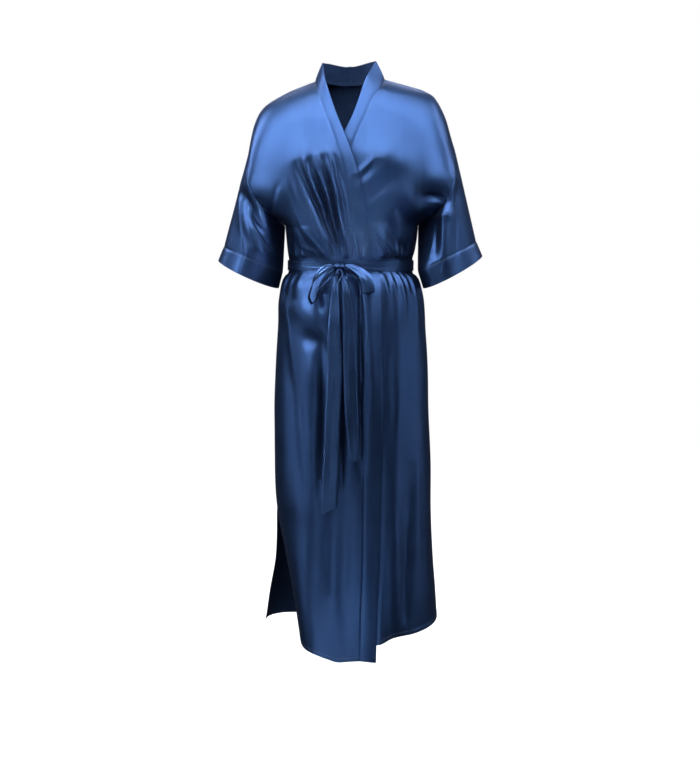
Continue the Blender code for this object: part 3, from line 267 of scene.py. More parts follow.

# %% [markdown]
# ## Folds
# Satin shows its folds more than its colour, because each crest catches the light and each
# trough loses it. The large folds are placed where the real robe has them: pulls from
# the shoulders to the belt, drapes on the sleeves, long falls in the skirt. Each is a soft ridge
# or trough with its own ends, bow, width and height. The solids have the same folds, but for the
# front of the skirt, where theirs are an earlier reading of the same cloth. A second table adds the
# narrower, sharper creases that the solids leave out. Cloth simulation was the other way. It would
# fold the robe somewhere, but not where this one folds.

# %% Large folds of the front
# A fold as seen from the front: a soft ridge (height above 0) or trough from one end to the
# other, bowed sideways in the middle, with its half width
Fold = namedtuple("Fold", "x0 z0 x1 z1 bow width height")
FRONT_FOLDS = [
    Fold(-0.108, -0.196, -0.026, -0.388, -0.003, 0.0110, -0.0090),
    Fold(-0.0945, -0.190, -0.0225, -0.388, -0.003, 0.0058, 0.0050),
    Fold(-0.082, -0.192, -0.019, -0.388, -0.003, 0.0070, -0.0075),
    Fold(-0.069, -0.180, -0.014, -0.388, -0.003, 0.0058, 0.0052),
    Fold(-0.0585, -0.186, -0.010, -0.386, -0.002, 0.0068, -0.0065),
    Fold(-0.046, -0.170, -0.004, -0.384, -0.002, 0.0065, 0.0045),
    Fold(-0.034, -0.184, 0.006, -0.380, -0.002, 0.0080, -0.0040),
    Fold(-0.168, -0.318, -0.062, -0.332, -0.003, 0.0320, 0.0085),
    Fold(0.104, -0.294, 0.156, -0.288, 0.000, 0.0280, 0.0050),
    Fold(-0.222, -0.236, -0.150, -0.256, 0.000, 0.0300, 0.0060),
    Fold(0.012, -0.212, 0.046, -0.184, 0.003, 0.0070, 0.0030),
    Fold(0.020, -0.242, 0.076, -0.196, 0.003, 0.0080, 0.0018),
    Fold(0.030, -0.268, 0.096, -0.216, 0.004, 0.0180, -0.0045),
    Fold(0.084, -0.318, 0.120, -0.372, 0.006, 0.0120, -0.0060),
    Fold(0.056, -0.325, 0.092, -0.374, 0.005, 0.0120, 0.0040),
    Fold(0.100, -0.268, 0.146, -0.330, 0.006, 0.0150, -0.0075),
    Fold(0.150, -0.218, 0.214, -0.226, 0.000, 0.0260, 0.0050),
    Fold(0.152, -0.262, 0.206, -0.272, -0.004, 0.0150, -0.0100),
    Fold(0.158, -0.308, 0.212, -0.296, -0.004, 0.0110, 0.0060),
    Fold(0.214, -0.225, 0.200, -0.390, 0.004, 0.0140, 0.0060),
    Fold(0.186, -0.290, 0.176, -0.395, 0.004, 0.0130, -0.0065),
    Fold(-0.224, -0.256, -0.168, -0.326, 0.003, 0.0130, -0.0110),
    Fold(-0.222, -0.296, -0.180, -0.385, 0.004, 0.0120, 0.0070),
    Fold(-0.150, -0.256, -0.158, -0.318, 0.002, 0.0120, 0.0050),
    Fold(-0.124, -0.450, -0.086, -0.458, 0.000, 0.0180, 0.0045),
    Fold(-0.132, -0.490, -0.050, -0.545, -0.018, 0.0260, 0.0110),
    Fold(-0.110, -0.556, -0.058, -0.576, -0.008, 0.0160, -0.0060),
    Fold(-0.138, -0.540, -0.116, -0.720, 0.003, 0.0140, -0.0036),
    Fold(-0.104, -0.640, -0.056, -0.625, -0.008, 0.0300, 0.0028),
    Fold(-0.128, -0.700, -0.100, -0.900, 0.003, 0.0160, -0.0032),
    Fold(-0.0165, -0.430, -0.0185, -0.860, 0.000, 0.0090, -0.0055),
    Fold(-0.0605, -0.590, -0.0665, -0.880, -0.002, 0.0090, -0.0050),
    Fold(0.0215, -0.440, 0.0235, -0.840, 0.000, 0.0090, -0.0050),
    Fold(0.044, -0.450, 0.046, -0.700, 0.002, 0.0110, 0.0050),
    Fold(-0.054, -0.880, -0.062, -1.150, 0.003, 0.0180, -0.0050),
    Fold(-0.010, -0.900, -0.014, -1.180, 0.002, 0.0150, -0.0050),
    Fold(0.104, -0.450, 0.098, -0.780, 0.003, 0.0140, 0.0045),
    Fold(0.086, -0.480, 0.082, -0.760, 0.003, 0.0130, -0.0045),
    Fold(0.130, -0.840, 0.120, -1.150, 0.003, 0.0150, -0.0055),
    Fold(0.092, -0.780, 0.097, -1.170, 0.003, 0.0180, 0.0055),
]
print("large folds in front:", len(FRONT_FOLDS))

# %% Large folds of the back
BACK_FOLDS = [
    Fold(-0.180, -0.250, -0.060, -0.374, 0.008, 0.0150, -0.0070),
    Fold(0.182, -0.248, 0.058, -0.374, -0.008, 0.0150, -0.0070),
    Fold(-0.150, -0.180, -0.080, -0.334, 0.006, 0.0160, 0.0065),
    Fold(0.146, -0.176, 0.084, -0.336, -0.006, 0.0160, 0.0060),
    Fold(-0.032, -0.236, -0.024, -0.378, 0.002, 0.0130, -0.0060),
    Fold(0.030, -0.222, 0.020, -0.376, 0.002, 0.0130, 0.0060),
    Fold(-0.214, -0.270, -0.180, -0.390, 0.004, 0.0130, -0.0065),
    Fold(0.214, -0.262, 0.186, -0.390, 0.004, 0.0130, -0.0065),
    Fold(-0.092, -0.480, -0.112, -1.080, 0.004, 0.0180, 0.0075),
    Fold(-0.036, -0.520, -0.044, -1.190, 0.003, 0.0180, -0.0070),
    Fold(0.026, -0.470, 0.032, -1.140, 0.003, 0.0180, 0.0075),
    Fold(0.088, -0.500, 0.106, -1.170, 0.003, 0.0180, -0.0070),
]
print("large folds behind:", len(BACK_FOLDS))

# %% Gathers at the belt
# Where each starts, its half width, its height and how far down it reaches
Gather = namedtuple("Gather", "side width height reach")
FRONT_GATHERS = [
    Gather(-0.90, 0.034, 0.0055, 0.060), Gather(-0.78, 0.034, 0.0065, 0.080),
    Gather(-0.65, 0.034, 0.0055, 0.065), Gather(-0.52, 0.034, 0.0050, 0.050),
    Gather(-0.04, 0.034, 0.0050, 0.070), Gather(0.13, 0.034, 0.0050, 0.060),
    Gather(0.33, 0.028, 0.0060, 0.085), Gather(0.42, 0.028, 0.0050, 0.060),
    Gather(0.51, 0.028, 0.0065, 0.100), Gather(0.60, 0.028, 0.0052, 0.065),
    Gather(0.69, 0.028, 0.0065, 0.095), Gather(0.78, 0.028, 0.0052, 0.060),
    Gather(0.87, 0.028, 0.0060, 0.080),
]
BACK_GATHERS = [
    Gather(-0.88, 0.034, 0.0055, 0.070), Gather(-0.75, 0.034, 0.0065, 0.095),
    Gather(-0.61, 0.034, 0.0055, 0.065), Gather(-0.47, 0.034, 0.0065, 0.100),
    Gather(-0.32, 0.036, 0.0055, 0.070), Gather(-0.16, 0.036, 0.0065, 0.090),
    Gather(0.02, 0.036, 0.0055, 0.075), Gather(0.18, 0.036, 0.0065, 0.100),
    Gather(0.33, 0.036, 0.0055, 0.065), Gather(0.48, 0.034, 0.0065, 0.095),
    Gather(0.62, 0.034, 0.0055, 0.070), Gather(0.76, 0.034, 0.0065, 0.085),
    Gather(0.89, 0.034, 0.0055, 0.065),
]
GATHER_SPREAD = 1.6
GATHER_ABOVE = 0.5
print("gathers:", len(FRONT_GATHERS) + len(BACK_GATHERS))

# %% Where the cloth lies calm
# How folds end, and how they calm down at the belt, the side seams and the underarm
FOLD_END = 0.08
FOLD_FULLNESS = 0.7
SEAM_CALM = 0.12
RELIEF_FADE_Y = 0.030
BELT_CALM = 0.0152
EDGE_CALM = 0.010
UNDERARM_X = 0.144
UNDERARM_CALM = (0.050, 0.090)

# Bust: a soft rise on each side of the chest
BUST_X = 0.074
BUST_Z = -0.178
BUST_WIDTH = 0.042
BUST_HEIGHT = 0.036
BUST_RISE = 0.0110
print("the bust rises", BUST_RISE * 1000, "mm")

# %% Narrow creases of the front
# A narrow crease as seen from the front: a pinched crest or, below 0, a pinched trough. "lean"
# makes one flank steeper than the other, as gravity does.
Crease = namedtuple("Crease", "x0 z0 x1 z1 bow width height lean")
FRONT_CREASES = [
    Crease(-0.108, -0.196, -0.026, -0.396, -0.003, 0.0060, -0.0045, 0.0),
    Crease(-0.0945, -0.186, -0.0225, -0.396, -0.003, 0.0042, 0.0036, 0.3),
    Crease(-0.082, -0.192, -0.019, -0.398, -0.003, 0.0046, -0.0042, 0.0),
    Crease(-0.069, -0.174, -0.014, -0.398, -0.003, 0.0042, 0.0038, 0.3),
    Crease(-0.0585, -0.186, -0.010, -0.398, -0.002, 0.0044, -0.0042, 0.0),
    Crease(-0.046, -0.166, -0.004, -0.396, -0.002, 0.0042, 0.0034, 0.3),
    Crease(-0.034, -0.180, 0.006, -0.394, -0.002, 0.0044, -0.0022, 0.0),
    Crease(-0.228, -0.250, -0.174, -0.322, 0.006, 0.0075, -0.0050, 0.0),
    Crease(-0.128, -0.236, -0.046, -0.388, 0.010, 0.0046, 0.0022, 0.3),
    Crease(-0.132, -0.338, -0.092, -0.384, -0.004, 0.0044, -0.0012, 0.0),
    Crease(-0.116, -0.352, -0.070, -0.376, 0.002, 0.0042, 0.0010, 0.2),
    Crease(-0.106, -0.322, -0.078, -0.386, -0.003, 0.0044, -0.0012, 0.0),
    Crease(0.014, -0.216, 0.042, -0.190, 0.002, 0.0030, 0.0018, 0.3),
    Crease(0.016, -0.226, 0.052, -0.192, 0.003, 0.0030, -0.0020, 0.0),
    Crease(0.022, -0.240, 0.070, -0.198, 0.003, 0.0036, 0.0010, 0.3),
    Crease(0.028, -0.256, 0.082, -0.204, 0.004, 0.0040, -0.0012, 0.0),
    Crease(0.036, -0.276, 0.098, -0.222, 0.005, 0.0044, 0.0006, 0.3),
    Crease(0.052, -0.318, 0.138, -0.262, 0.006, 0.0056, -0.0012, 0.0),
    Crease(0.088, -0.256, 0.132, -0.262, 0.000, 0.0300, 0.0045, 0.0),
    Crease(0.082, -0.308, 0.126, -0.384, 0.007, 0.0040, -0.0024, 0.0),
    Crease(0.100, -0.318, 0.134, -0.380, 0.006, 0.0038, 0.0022, -0.3),
    Crease(0.064, -0.330, 0.100, -0.386, 0.006, 0.0038, -0.0022, 0.0),
    Crease(0.050, -0.340, 0.078, -0.386, 0.004, 0.0036, 0.0018, 0.3),
    Crease(0.154, -0.258, 0.210, -0.268, -0.004, 0.0038, -0.0034, 0.3),
    Crease(0.158, -0.272, 0.212, -0.280, -0.004, 0.0036, 0.0030, 0.3),
    Crease(0.160, -0.290, 0.208, -0.298, -0.004, 0.0038, -0.0026, 0.0),
    Crease(0.210, -0.240, 0.193, -0.400, 0.004, 0.0042, 0.0026, 0.3),
    Crease(0.230, -0.226, 0.226, -0.384, 0.004, 0.0048, -0.0022, 0.0),
    Crease(0.180, -0.310, 0.166, -0.420, 0.003, 0.0040, 0.0026, 0.3),
    Crease(-0.150, -0.236, -0.170, -0.330, 0.004, 0.0040, -0.0026, 0.0),
    Crease(-0.212, -0.296, -0.168, -0.372, 0.004, 0.0034, 0.0028, 0.3),
    Crease(-0.224, -0.262, -0.184, -0.340, 0.004, 0.0042, -0.0024, 0.0),
    Crease(-0.160, -0.282, -0.168, -0.352, 0.002, 0.0038, 0.0026, -0.3),
    Crease(-0.200, -0.362, -0.164, -0.388, 0.003, 0.0040, 0.0022, 0.0),
    Crease(-0.238, -0.250, -0.232, -0.386, -0.003, 0.0044, 0.0022, 0.3),
    Crease(-0.122, -0.446, -0.048, -0.500, -0.024, 0.0052, 0.0026, -0.3),
    Crease(-0.112, -0.432, -0.052, -0.472, -0.016, 0.0044, 0.0022, 0.3),
    Crease(-0.138, -0.440, -0.118, -0.640, 0.003, 0.0050, 0.0020, 0.3),
    Crease(-0.110, -0.600, -0.094, -0.780, 0.003, 0.0056, -0.0014, 0.0),
    Crease(-0.128, -0.720, -0.108, -0.980, 0.003, 0.0070, 0.0014, 0.3),
    Crease(-0.088, -0.660, -0.078, -0.900, -0.002, 0.0075, 0.0012, 0.2),
    Crease(-0.0605, -0.560, -0.0675, -0.910, -0.002, 0.0052, -0.0058, 0.0),
    Crease(-0.0165, -0.430, -0.0185, -0.880, 0.000, 0.0055, -0.0055, 0.0),
    Crease(0.0210, -0.430, 0.0235, -0.850, 0.000, 0.0052, -0.0060, 0.0),
    Crease(0.012, -0.424, 0.030, -0.560, -0.004, 0.0038, -0.0020, 0.0),
    Crease(0.034, -0.440, 0.042, -0.640, 0.002, 0.0050, 0.0012, 0.3),
    Crease(0.080, -0.430, 0.076, -0.560, 0.002, 0.0050, 0.0008, 0.3),
    Crease(0.098, -0.432, 0.092, -0.600, 0.002, 0.0054, -0.0008, 0.0),
    Crease(0.118, -0.430, 0.112, -0.560, 0.002, 0.0054, 0.0008, -0.3),
    Crease(0.134, -0.436, 0.144, -0.540, 0.002, 0.0048, 0.0014, 0.3),
    Crease(0.128, -0.960, 0.118, -1.160, 0.003, 0.0060, -0.0018, 0.0),
    Crease(0.148, -0.760, 0.150, -1.080, 0.003, 0.0070, 0.0020, 0.3),
]
print("narrow creases in front:", len(FRONT_CREASES))

# %% Narrow creases of the back
BACK_CREASES = [
    Crease(-0.196, -0.226, -0.072, -0.376, 0.010, 0.0050, 0.0026, 0.3),
    Crease(-0.170, -0.292, -0.096, -0.384, 0.006, 0.0046, -0.0026, 0.0),
    Crease(-0.130, -0.240, -0.052, -0.380, 0.006, 0.0046, 0.0022, 0.3),
    Crease(0.198, -0.224, 0.070, -0.378, -0.010, 0.0050, 0.0026, -0.3),
    Crease(0.166, -0.296, 0.100, -0.382, -0.006, 0.0046, -0.0026, 0.0),
    Crease(0.126, -0.236, 0.048, -0.380, -0.006, 0.0046, 0.0022, -0.3),
    Crease(-0.060, -0.280, -0.048, -0.384, 0.002, 0.0040, -0.0022, 0.0),
    Crease(0.006, -0.262, 0.002, -0.384, 0.002, 0.0042, 0.0022, 0.3),
    Crease(0.060, -0.286, 0.044, -0.384, 0.002, 0.0040, -0.0022, 0.0),
    Crease(-0.228, -0.240, -0.206, -0.392, 0.003, 0.0044, 0.0026, 0.3),
    Crease(0.228, -0.236, 0.208, -0.388, 0.003, 0.0044, 0.0026, -0.3),
    Crease(-0.120, -0.440, -0.132, -0.760, 0.004, 0.0056, 0.0024, 0.3),
    Crease(-0.066, -0.436, -0.074, -0.880, 0.003, 0.0056, -0.0022, 0.0),
    Crease(-0.010, -0.438, -0.010, -0.820, 0.003, 0.0056, 0.0022, 0.3),
    Crease(0.054, -0.440, 0.062, -0.900, 0.003, 0.0056, -0.0022, 0.0),
    Crease(0.112, -0.440, 0.126, -0.780, 0.003, 0.0056, 0.0024, -0.3),
    Crease(-0.030, -0.900, -0.034, -1.180, 0.003, 0.0070, 0.0022, 0.3),
    Crease(0.074, -0.860, 0.084, -1.170, 0.003, 0.0070, 0.0022, -0.3),
]
print("narrow creases behind:", len(BACK_CREASES))

# %% Pleats at the belt
# Small pleats that the belt pinches into the cloth, by x on the front and the back
FRONT_PLEATS = [-0.125, -0.113, -0.098, -0.079, -0.063, 0.058, 0.069, 0.079, 0.090, 0.100, 0.110,
                0.121, 0.129]
BACK_PLEATS = [-0.122, -0.108, -0.095, -0.078, -0.064, -0.047, -0.033, -0.016, 0.000, 0.014, 0.030,
               0.046, 0.060, 0.077, 0.092, 0.105, 0.120]
PLEAT_WIDTH = 0.0032
PLEAT_HEIGHT = 0.0014
PLEAT_REACH = 0.030
PLEAT_SPREAD = 4
# The pleats have five lengths, from this share of the reach upward, in a mixed order
PLEAT_LENGTHS = 5
PLEAT_SHORTEST = 0.6
PLEAT_RANGE = 0.7
PLEAT_ORDER = 7
print("pleats:", len(FRONT_PLEATS) + len(BACK_PLEATS))

# %% [markdown]
# ## Uneven cloth
# Nothing in worn satin is straight or even. A small seeded noise bends the creases a few
# millimetres and lays faint ripples between them. The noise is a grid of random heights read
# softly, so it gives the same cloth each run.

# %% Soft noise
NOISE_CELLS = 128


def soft_noise(u, v, seed):
    """Smooth random heights between about -1 and 1, one bump per unit."""
    heights = np.random.default_rng(seed).uniform(-1, 1, (NOISE_CELLS, NOISE_CELLS))
    u0 = np.floor(u).astype(int)
    v0 = np.floor(v).astype(int)
    fu = u - u0
    fv = v - v0
    fu = fu * fu * (3 - 2 * fu)
    fv = fv * fv * (3 - 2 * fv)
    a = heights[u0 % NOISE_CELLS, v0 % NOISE_CELLS]
    b = heights[(u0 + 1) % NOISE_CELLS, v0 % NOISE_CELLS]
    c = heights[u0 % NOISE_CELLS, (v0 + 1) % NOISE_CELLS]
    d = heights[(u0 + 1) % NOISE_CELLS, (v0 + 1) % NOISE_CELLS]
    return (a * (1 - fu) + b * fu) * (1 - fv) + (c * (1 - fu) + d * fu) * fv


print("noise at one spot:", np.round(soft_noise(np.array([0.5]), np.array([0.5]), 1), 3))

# %% The cloth of each face
# The folds and creases of the front (-1) and of the back (1), and the seeds of their unevenness
Face = namedtuple("Face", "folds creases gathers pleats wander_seed ripple_seed")
FACES = {
    -1: Face(FRONT_FOLDS, FRONT_CREASES, FRONT_GATHERS, FRONT_PLEATS, 11, 31),
    1: Face(BACK_FOLDS, BACK_CREASES, BACK_GATHERS, BACK_PLEATS, 21, 32),
}
WANDER = 0.0020
WANDER_SIZE = 0.045
WANDER_FROM = (40, 60)


def wandered(face, points):
    """The points, moved a little sideways, so that the folds drawn there aren't straight."""
    moved = points.copy()
    across = points[..., 0] / WANDER_SIZE + WANDER_FROM[0]
    down = points[..., 2] / WANDER_SIZE + WANDER_FROM[1]
    seed = FACES[face].wander_seed
    moved[..., 0] += WANDER * soft_noise(across, down, seed)
    moved[..., 2] += WANDER * soft_noise(across, down, seed + 1)
    return moved


print("seeds:", [(face.wander_seed, face.ripple_seed) for face in FACES.values()])

# %% Heights of folds and creases
CREASE_SHARPNESS = 1.5


def beside_line(points, line):
    """Where points lie by a bowed line: how far beside it, how far past its ends, how full it is."""
    along = np.array([line.x1 - line.x0, line.z1 - line.z0])
    length = np.hypot(*along)
    along = along / length
    x = points[..., 0] - line.x0
    z = points[..., 2] - line.z0
    t = (x * along[0] + z * along[1]) / length
    inside = np.clip(t, 0, 1)
    away = x * along[1] - z * along[0] - line.bow * 4 * inside * (1 - inside)
    full = np.sin(math.pi * (FOLD_END + inside * (1 - 2 * FOLD_END)))
    return away, (t - inside) * length, full


def fold_heights(points, folds):
    """Height of the soft ridges and troughs at each point, seen from the front."""
    total = np.zeros(points.shape[:-1])
    for fold in folds:
        away, past, full = beside_line(points, fold)
        swell = full ** FOLD_FULLNESS
        total += fold.height * swell * np.exp(-(away ** 2 + past ** 2) / fold.width ** 2)
    return total


def crease_heights(points, creases):
    """Height of the narrow creases at each point."""
    total = np.zeros(points.shape[:-1])
    for crease in creases:
        away, past, full = beside_line(points, crease)
        away = away / (1 + crease.lean * np.tanh(away / crease.width))
        total += crease.height * full * np.exp(-np.abs(away / crease.width) ** CREASE_SHARPNESS
                                               - (past / crease.width) ** 2)
    return total


fold_here = fold_heights(np.array([[-0.082, 0.0, -0.250]]), FRONT_FOLDS)[0]
print("in the pulls to the knot the folds stand", round(1000 * float(fold_here), 1), "mm off the form")

# %% Heights of pleats and gathers


def pleat_heights(points, pleats):
    """Height of the small pleats above and below the belt."""
    x = points[..., 0]
    down = points[..., 2] - BELT_Z
    total = np.zeros(x.shape)
    fan = 1 + PLEAT_SPREAD * np.abs(down)
    for index, middle in enumerate(pleats):
        length = (index * PLEAT_ORDER) % PLEAT_LENGTHS
        reach = PLEAT_REACH * (PLEAT_SHORTEST + PLEAT_RANGE * length / (PLEAT_LENGTHS - 1))
        reach = np.where(down < 0, reach, reach * GATHER_ABOVE)
        total += PLEAT_HEIGHT * np.exp(-((x / fan - middle) / PLEAT_WIDTH) ** 2 - (down / reach) ** 2)
    return total


def gather_heights(points, side, gathers):
    """Height of the gathers above and below the belt, fading away from it."""
    z = points[..., 2]
    down = np.abs(z - BELT_Z)
    total = np.zeros(z.shape)
    for gather in gathers:
        reach = np.where(z < BELT_Z, gather.reach, gather.reach * GATHER_ABOVE)
        fade = np.exp(-(down / reach) ** 2)
        width = gather.width * (1 + GATHER_SPREAD * down)
        total += gather.height * fade * np.exp(-((side - gather.side) / width) ** 2)
    return total


pleats_here = pleat_heights(np.array([[0.058, -0.1, BELT_Z - 0.010]]), FRONT_PLEATS)[0]
print("a pleat a centimetre below the belt stands", round(1000 * float(pleats_here), 1), "mm off")

# %% The shoulder line
# Front and back meet at an angle over the shoulder and the upper arm. The cloth rounds it off, from
# clear of the neck to the cuff, and less on the arm, whose top is wide.
SHOULDER_SLOPE = 0.33
SHOULDER_ROUND = 0.0090
NECK_CLEAR = (0.060, 0.110)
ARM_ROUNDER = 0.45
ARM_ACROSS = (0.120, 0.205)
SHOULDER_DOWN = (-0.30, -0.25)
SHOULDER_OUT = (0.20, 0.23)


def shoulder_round(points):
    """How far the cloth rounds off the line where front and back meet over the shoulder and arm."""
    y = points[..., 1]
    x = np.abs(points[..., 0])
    on_top = np.maximum(ramp(points[..., 2], *SHOULDER_DOWN), ramp(x, *SHOULDER_OUT))
    on_top = on_top * ramp(x, *NECK_CLEAR)
    on_top *= 1 - ARM_ROUNDER * ramp(x, *ARM_ACROSS)
    return -SHOULDER_SLOPE * (np.sqrt(y * y + SHOULDER_ROUND ** 2) - np.abs(y)) * on_top


rounded_here = shoulder_round(np.array([[0.12, 0.0, -0.05]]))[0]
print("the shoulder line is eased by", round(-1000 * float(rounded_here), 1), "mm")

# %% All that lifts the cloth off the form
RIPPLE_HEIGHT = 0.0003
RIPPLE_ACROSS = 0.012
RIPPLE_DOWN = 0.060
RIPPLE_FROM = 50
CRISP_FADE_Y = 0.020
CRISP_CALM = (BELT_CALM - 0.004, BELT_CALM + 0.002)


def away_from_underarm(points):
    """0 at the underarm, where the sleeve and the body fold together, and 1 clear of it."""
    x = np.abs(points[..., 0]) - UNDERARM_X
    z = points[..., 2] - UNDERARM_Z
    return ramp(np.sqrt(x * x + points[..., 1] ** 2 + z * z), *UNDERARM_CALM)


def crisp(face, points):
    """The narrow creases and the faint ripples, calm at the belt, the side seams and the underarm."""
    total = crease_heights(wandered(face, points), FACES[face].creases)
    pleats = pleat_heights(points, FACES[face].pleats)
    total += np.where(points[..., 2] < UNDERARM_Z, pleats, 0)
    across = points[..., 0] / RIPPLE_ACROSS + RIPPLE_FROM
    down = points[..., 2] / RIPPLE_DOWN + RIPPLE_FROM
    total += RIPPLE_HEIGHT * soft_noise(across, down, FACES[face].ripple_seed)
    total *= ramp(np.abs(points[..., 2] - BELT_Z), *CRISP_CALM)
    total *= ramp(np.abs(points[..., 1]), 0, CRISP_FADE_Y)
    return total * away_from_underarm(points)


def relief(face, points, side, level):
    """How far the cloth lies off each point of the form."""
    total = fold_heights(wandered(face, points), FACES[face].folds)
    total += np.where(level > 1, gather_heights(points, side, FACES[face].gathers), 0)
    if face < 0:
        bust = (((np.abs(points[..., 0]) - BUST_X) / BUST_WIDTH) ** 2
                + ((points[..., 2] - BUST_Z) / BUST_HEIGHT) ** 2)
        total += BUST_RISE * np.exp(-bust)
    # The belt presses the cloth flat, and the side seams hold it
    total *= ramp(np.abs(points[..., 2] - BELT_Z), BELT_CALM, BELT_CALM + EDGE_CALM)
    edge = np.where(level > 1, ramp(1 - np.abs(side), 0, SEAM_CALM),
                    ramp(np.abs(points[..., 1]), 0, RELIEF_FADE_Y))
    total *= edge * away_from_underarm(points)
    total += shoulder_round(points)
    return total + crisp(face, points)


print("front stands", np.round(1000 * relief(-1, form(-1, -0.5, 2.1, BELT_HEM), -0.5, 2.1), 1),
      "mm off the plain form a hand below the belt")

# %% [markdown]
# ## Layers
# The robe wraps: the right front lies over the left one, and its neckband crosses the left band.
# Two tables say where the bands run. From them follows where the right front rises over what lies
# beneath, and where the left one is tucked in flat. Laying one cloth on the other by simulation
# would do it too, but a soft step in height keeps every edge where it was drawn.

# %% Neckband lines
# The neckband down the front: where its seam and its free edge lie as seen from the front. The
# right front's band lies on top.
Band = namedtuple("Band", "z seam edge")
RIGHT_BAND = [
    Band(0.000, -0.0800, -0.0610), Band(-0.030, -0.0700, -0.0530), Band(-0.060, -0.0610, -0.0405),
    Band(-0.095, -0.0480, -0.0265), Band(-0.128, -0.0354, -0.0125), Band(-0.190, -0.0155, 0.0104),
    Band(-0.248, -0.0040, 0.0240), Band(-0.315, 0.0055, 0.0382), Band(-0.382, 0.0184, 0.0480),
    Band(-0.430, 0.0270, 0.0610), Band(-0.480, 0.0325, 0.0640), Band(-0.590, 0.0345, 0.0655),
    Band(-0.680, 0.0345, 0.0695), Band(-0.860, 0.0290, 0.0662), Band(-1.030, 0.0275, 0.0625),
    Band(-1.130, 0.0235, 0.0580), Band(-1.245, 0.0215, 0.0548),
]
LEFT_BAND = [
    Band(0.000, 0.0800, 0.0610), Band(-0.030, 0.0620, 0.0330), Band(-0.060, 0.0430, 0.0195),
    Band(-0.095, 0.0290, 0.0045), Band(-0.128, 0.0140, -0.0125), Band(-0.190, -0.0090, -0.0360),
    Band(-0.248, -0.0210, -0.0510), Band(-0.315, -0.0300, -0.0620), Band(-0.382, -0.0340, -0.0680),
    Band(-0.480, -0.0370, -0.0730), Band(-0.860, -0.0360, -0.0730), Band(-1.245, -0.0330, -0.0680),
]
print("the bands cross about", RIGHT_BAND[4].z, "m down")

# %% How layers lie over each other
# How the right front is lifted over the left, by x and by z, and how the left is tucked beneath it
OVER_ACROSS = (-0.128, -0.092)
OVER_DOWN = (-0.055, -0.105)
HIDDEN_ACROSS = (-0.010, 0.012)
HIDDEN_DOWN = (-0.090, -0.135)
UNDER_SHOWN = 0.02


def over_lift(points):
    """Share of its full lift that the right front has where it laps over the left."""
    return ramp(points[..., 0], *OVER_ACROSS) * ramp(points[..., 2], *OVER_DOWN)


def under_lift(points, height):
    """Lift of the left front: its folds where it shows, tucked in flat under the right front."""
    hidden_x = smooth(RIGHT_BAND, "z", "edge", points[..., 2])
    hidden = ramp(hidden_x - points[..., 0], *HIDDEN_ACROSS) * ramp(points[..., 2], *HIDDEN_DOWN)
    return height * (1 - hidden) + (np.minimum(height, 0) - TUCK_DEPTH) * hidden


lap = over_lift(form(-1, 0.0, 1.5, BELT_HEM))
print("at the middle of the waist the right front has", round(float(lap), 2), "of its lift")

# %% [markdown]
# ## Grids and levels
# Every panel is a grid of rows down and columns across. Panels that meet share the same levels,
# so their edges meet point for point. Rows are closer together at the hem and columns at the side
# seam, because the turned hem there is a small step that a coarse grid would miss.

# %% Rows down the robe
YOKE_ROWS = 92
WAIST_ROWS = 30
SKIRT_ROWS = 98
HEM_ROWS = 14
HEM_DEPTH = 0.0165
SIDE_COLUMNS = 90
NECK_COLUMNS = 12
TUCK_COLUMNS = 8
BAND_COLUMNS = 16

hem_from = 3 - HEM_DEPTH / (BELT_Z - HEM_Z)
YOKE = np.linspace(0, 1, YOKE_ROWS)
WAIST = np.linspace(1, 2, WAIST_ROWS)[1:]
SKIRT = np.linspace(2, hem_from, SKIRT_ROWS)[1:]
TURNED_HEM = np.linspace(hem_from, 3, HEM_ROWS)[1:]
LEVELS = np.concatenate([YOKE, WAIST, SKIRT, TURNED_HEM])


def spread(count):
    """Shares from 0 to 1, closer together at both ends."""
    even = np.linspace(0, 1, count + 1)
    return (even + (1 - np.cos(math.pi * even)) / 2) / 2


print("rows from shoulder to hem:", len(LEVELS))

# %% [markdown]
# ## Thin cloth
# Real satin is about 0.3 mm thick. It is made here a little thicker, as an outer face, an inner
# face behind it and a rim between them, so that it has a real edge at hems and cuffs. The
# inner face gets its own material: duller, as the back of satin is, and with a darker dye that
# is painted shade for the inside of the robe.

# %% Seams and hems
SEAM_GAP = 0.00002
SEAM_DIP = 0.0007
SEAM_WIDTH = 0.0022
HEM_TURN = 0.0100
HEM_STEP = 0.00045
# Where the turned edge's step begins and ends, and the line that its stitches press into it
HEM_STEP_ENDS = (HEM_TURN + 0.0008, HEM_TURN - 0.0004)
HEM_PRESS = 1.2
HEM_PRESS_IN = 0.0016
HEM_PRESS_WIDTH = 0.0007
# The pressed line along the folded bands
BAND_STITCH = 0.0030
BAND_PRESS = 0.0004
BAND_PRESS_WIDTH = 0.0012
SLIT_EASE = 0.01


def distance_from(points, edge):
    """How far each point of a grid lies from one of its edges, along the cloth."""
    rows = points.swapaxes(0, 1) if edge in ("left", "right") else points
    if edge in ("bottom", "right"):
        rows = rows[::-1]
    steps = np.linalg.norm(np.diff(rows, axis=0), axis=-1)
    away = np.concatenate([np.zeros((1, rows.shape[1])), np.cumsum(steps, axis=0)])
    if edge in ("bottom", "right"):
        away = away[::-1]
    return away.swapaxes(0, 1) if edge in ("left", "right") else away


def seam_dip(away):
    """The cloth sinks a little where a seam pulls it down."""
    return -SEAM_DIP * np.exp(-(away / SEAM_WIDTH) ** 2)


def turned_hem(away):
    """The hem stands a little proud, with a line where its stitches press it."""
    step = HEM_STEP * ramp(away, *HEM_STEP_ENDS)
    return step - HEM_STEP * HEM_PRESS * np.exp(-((away - HEM_TURN + HEM_PRESS_IN) / HEM_PRESS_WIDTH) ** 2)


def pressed_line(away):
    """The line that topstitching presses into a doubled band."""
    return -BAND_PRESS * np.exp(-((away - BAND_STITCH) / BAND_PRESS_WIDTH) ** 2)


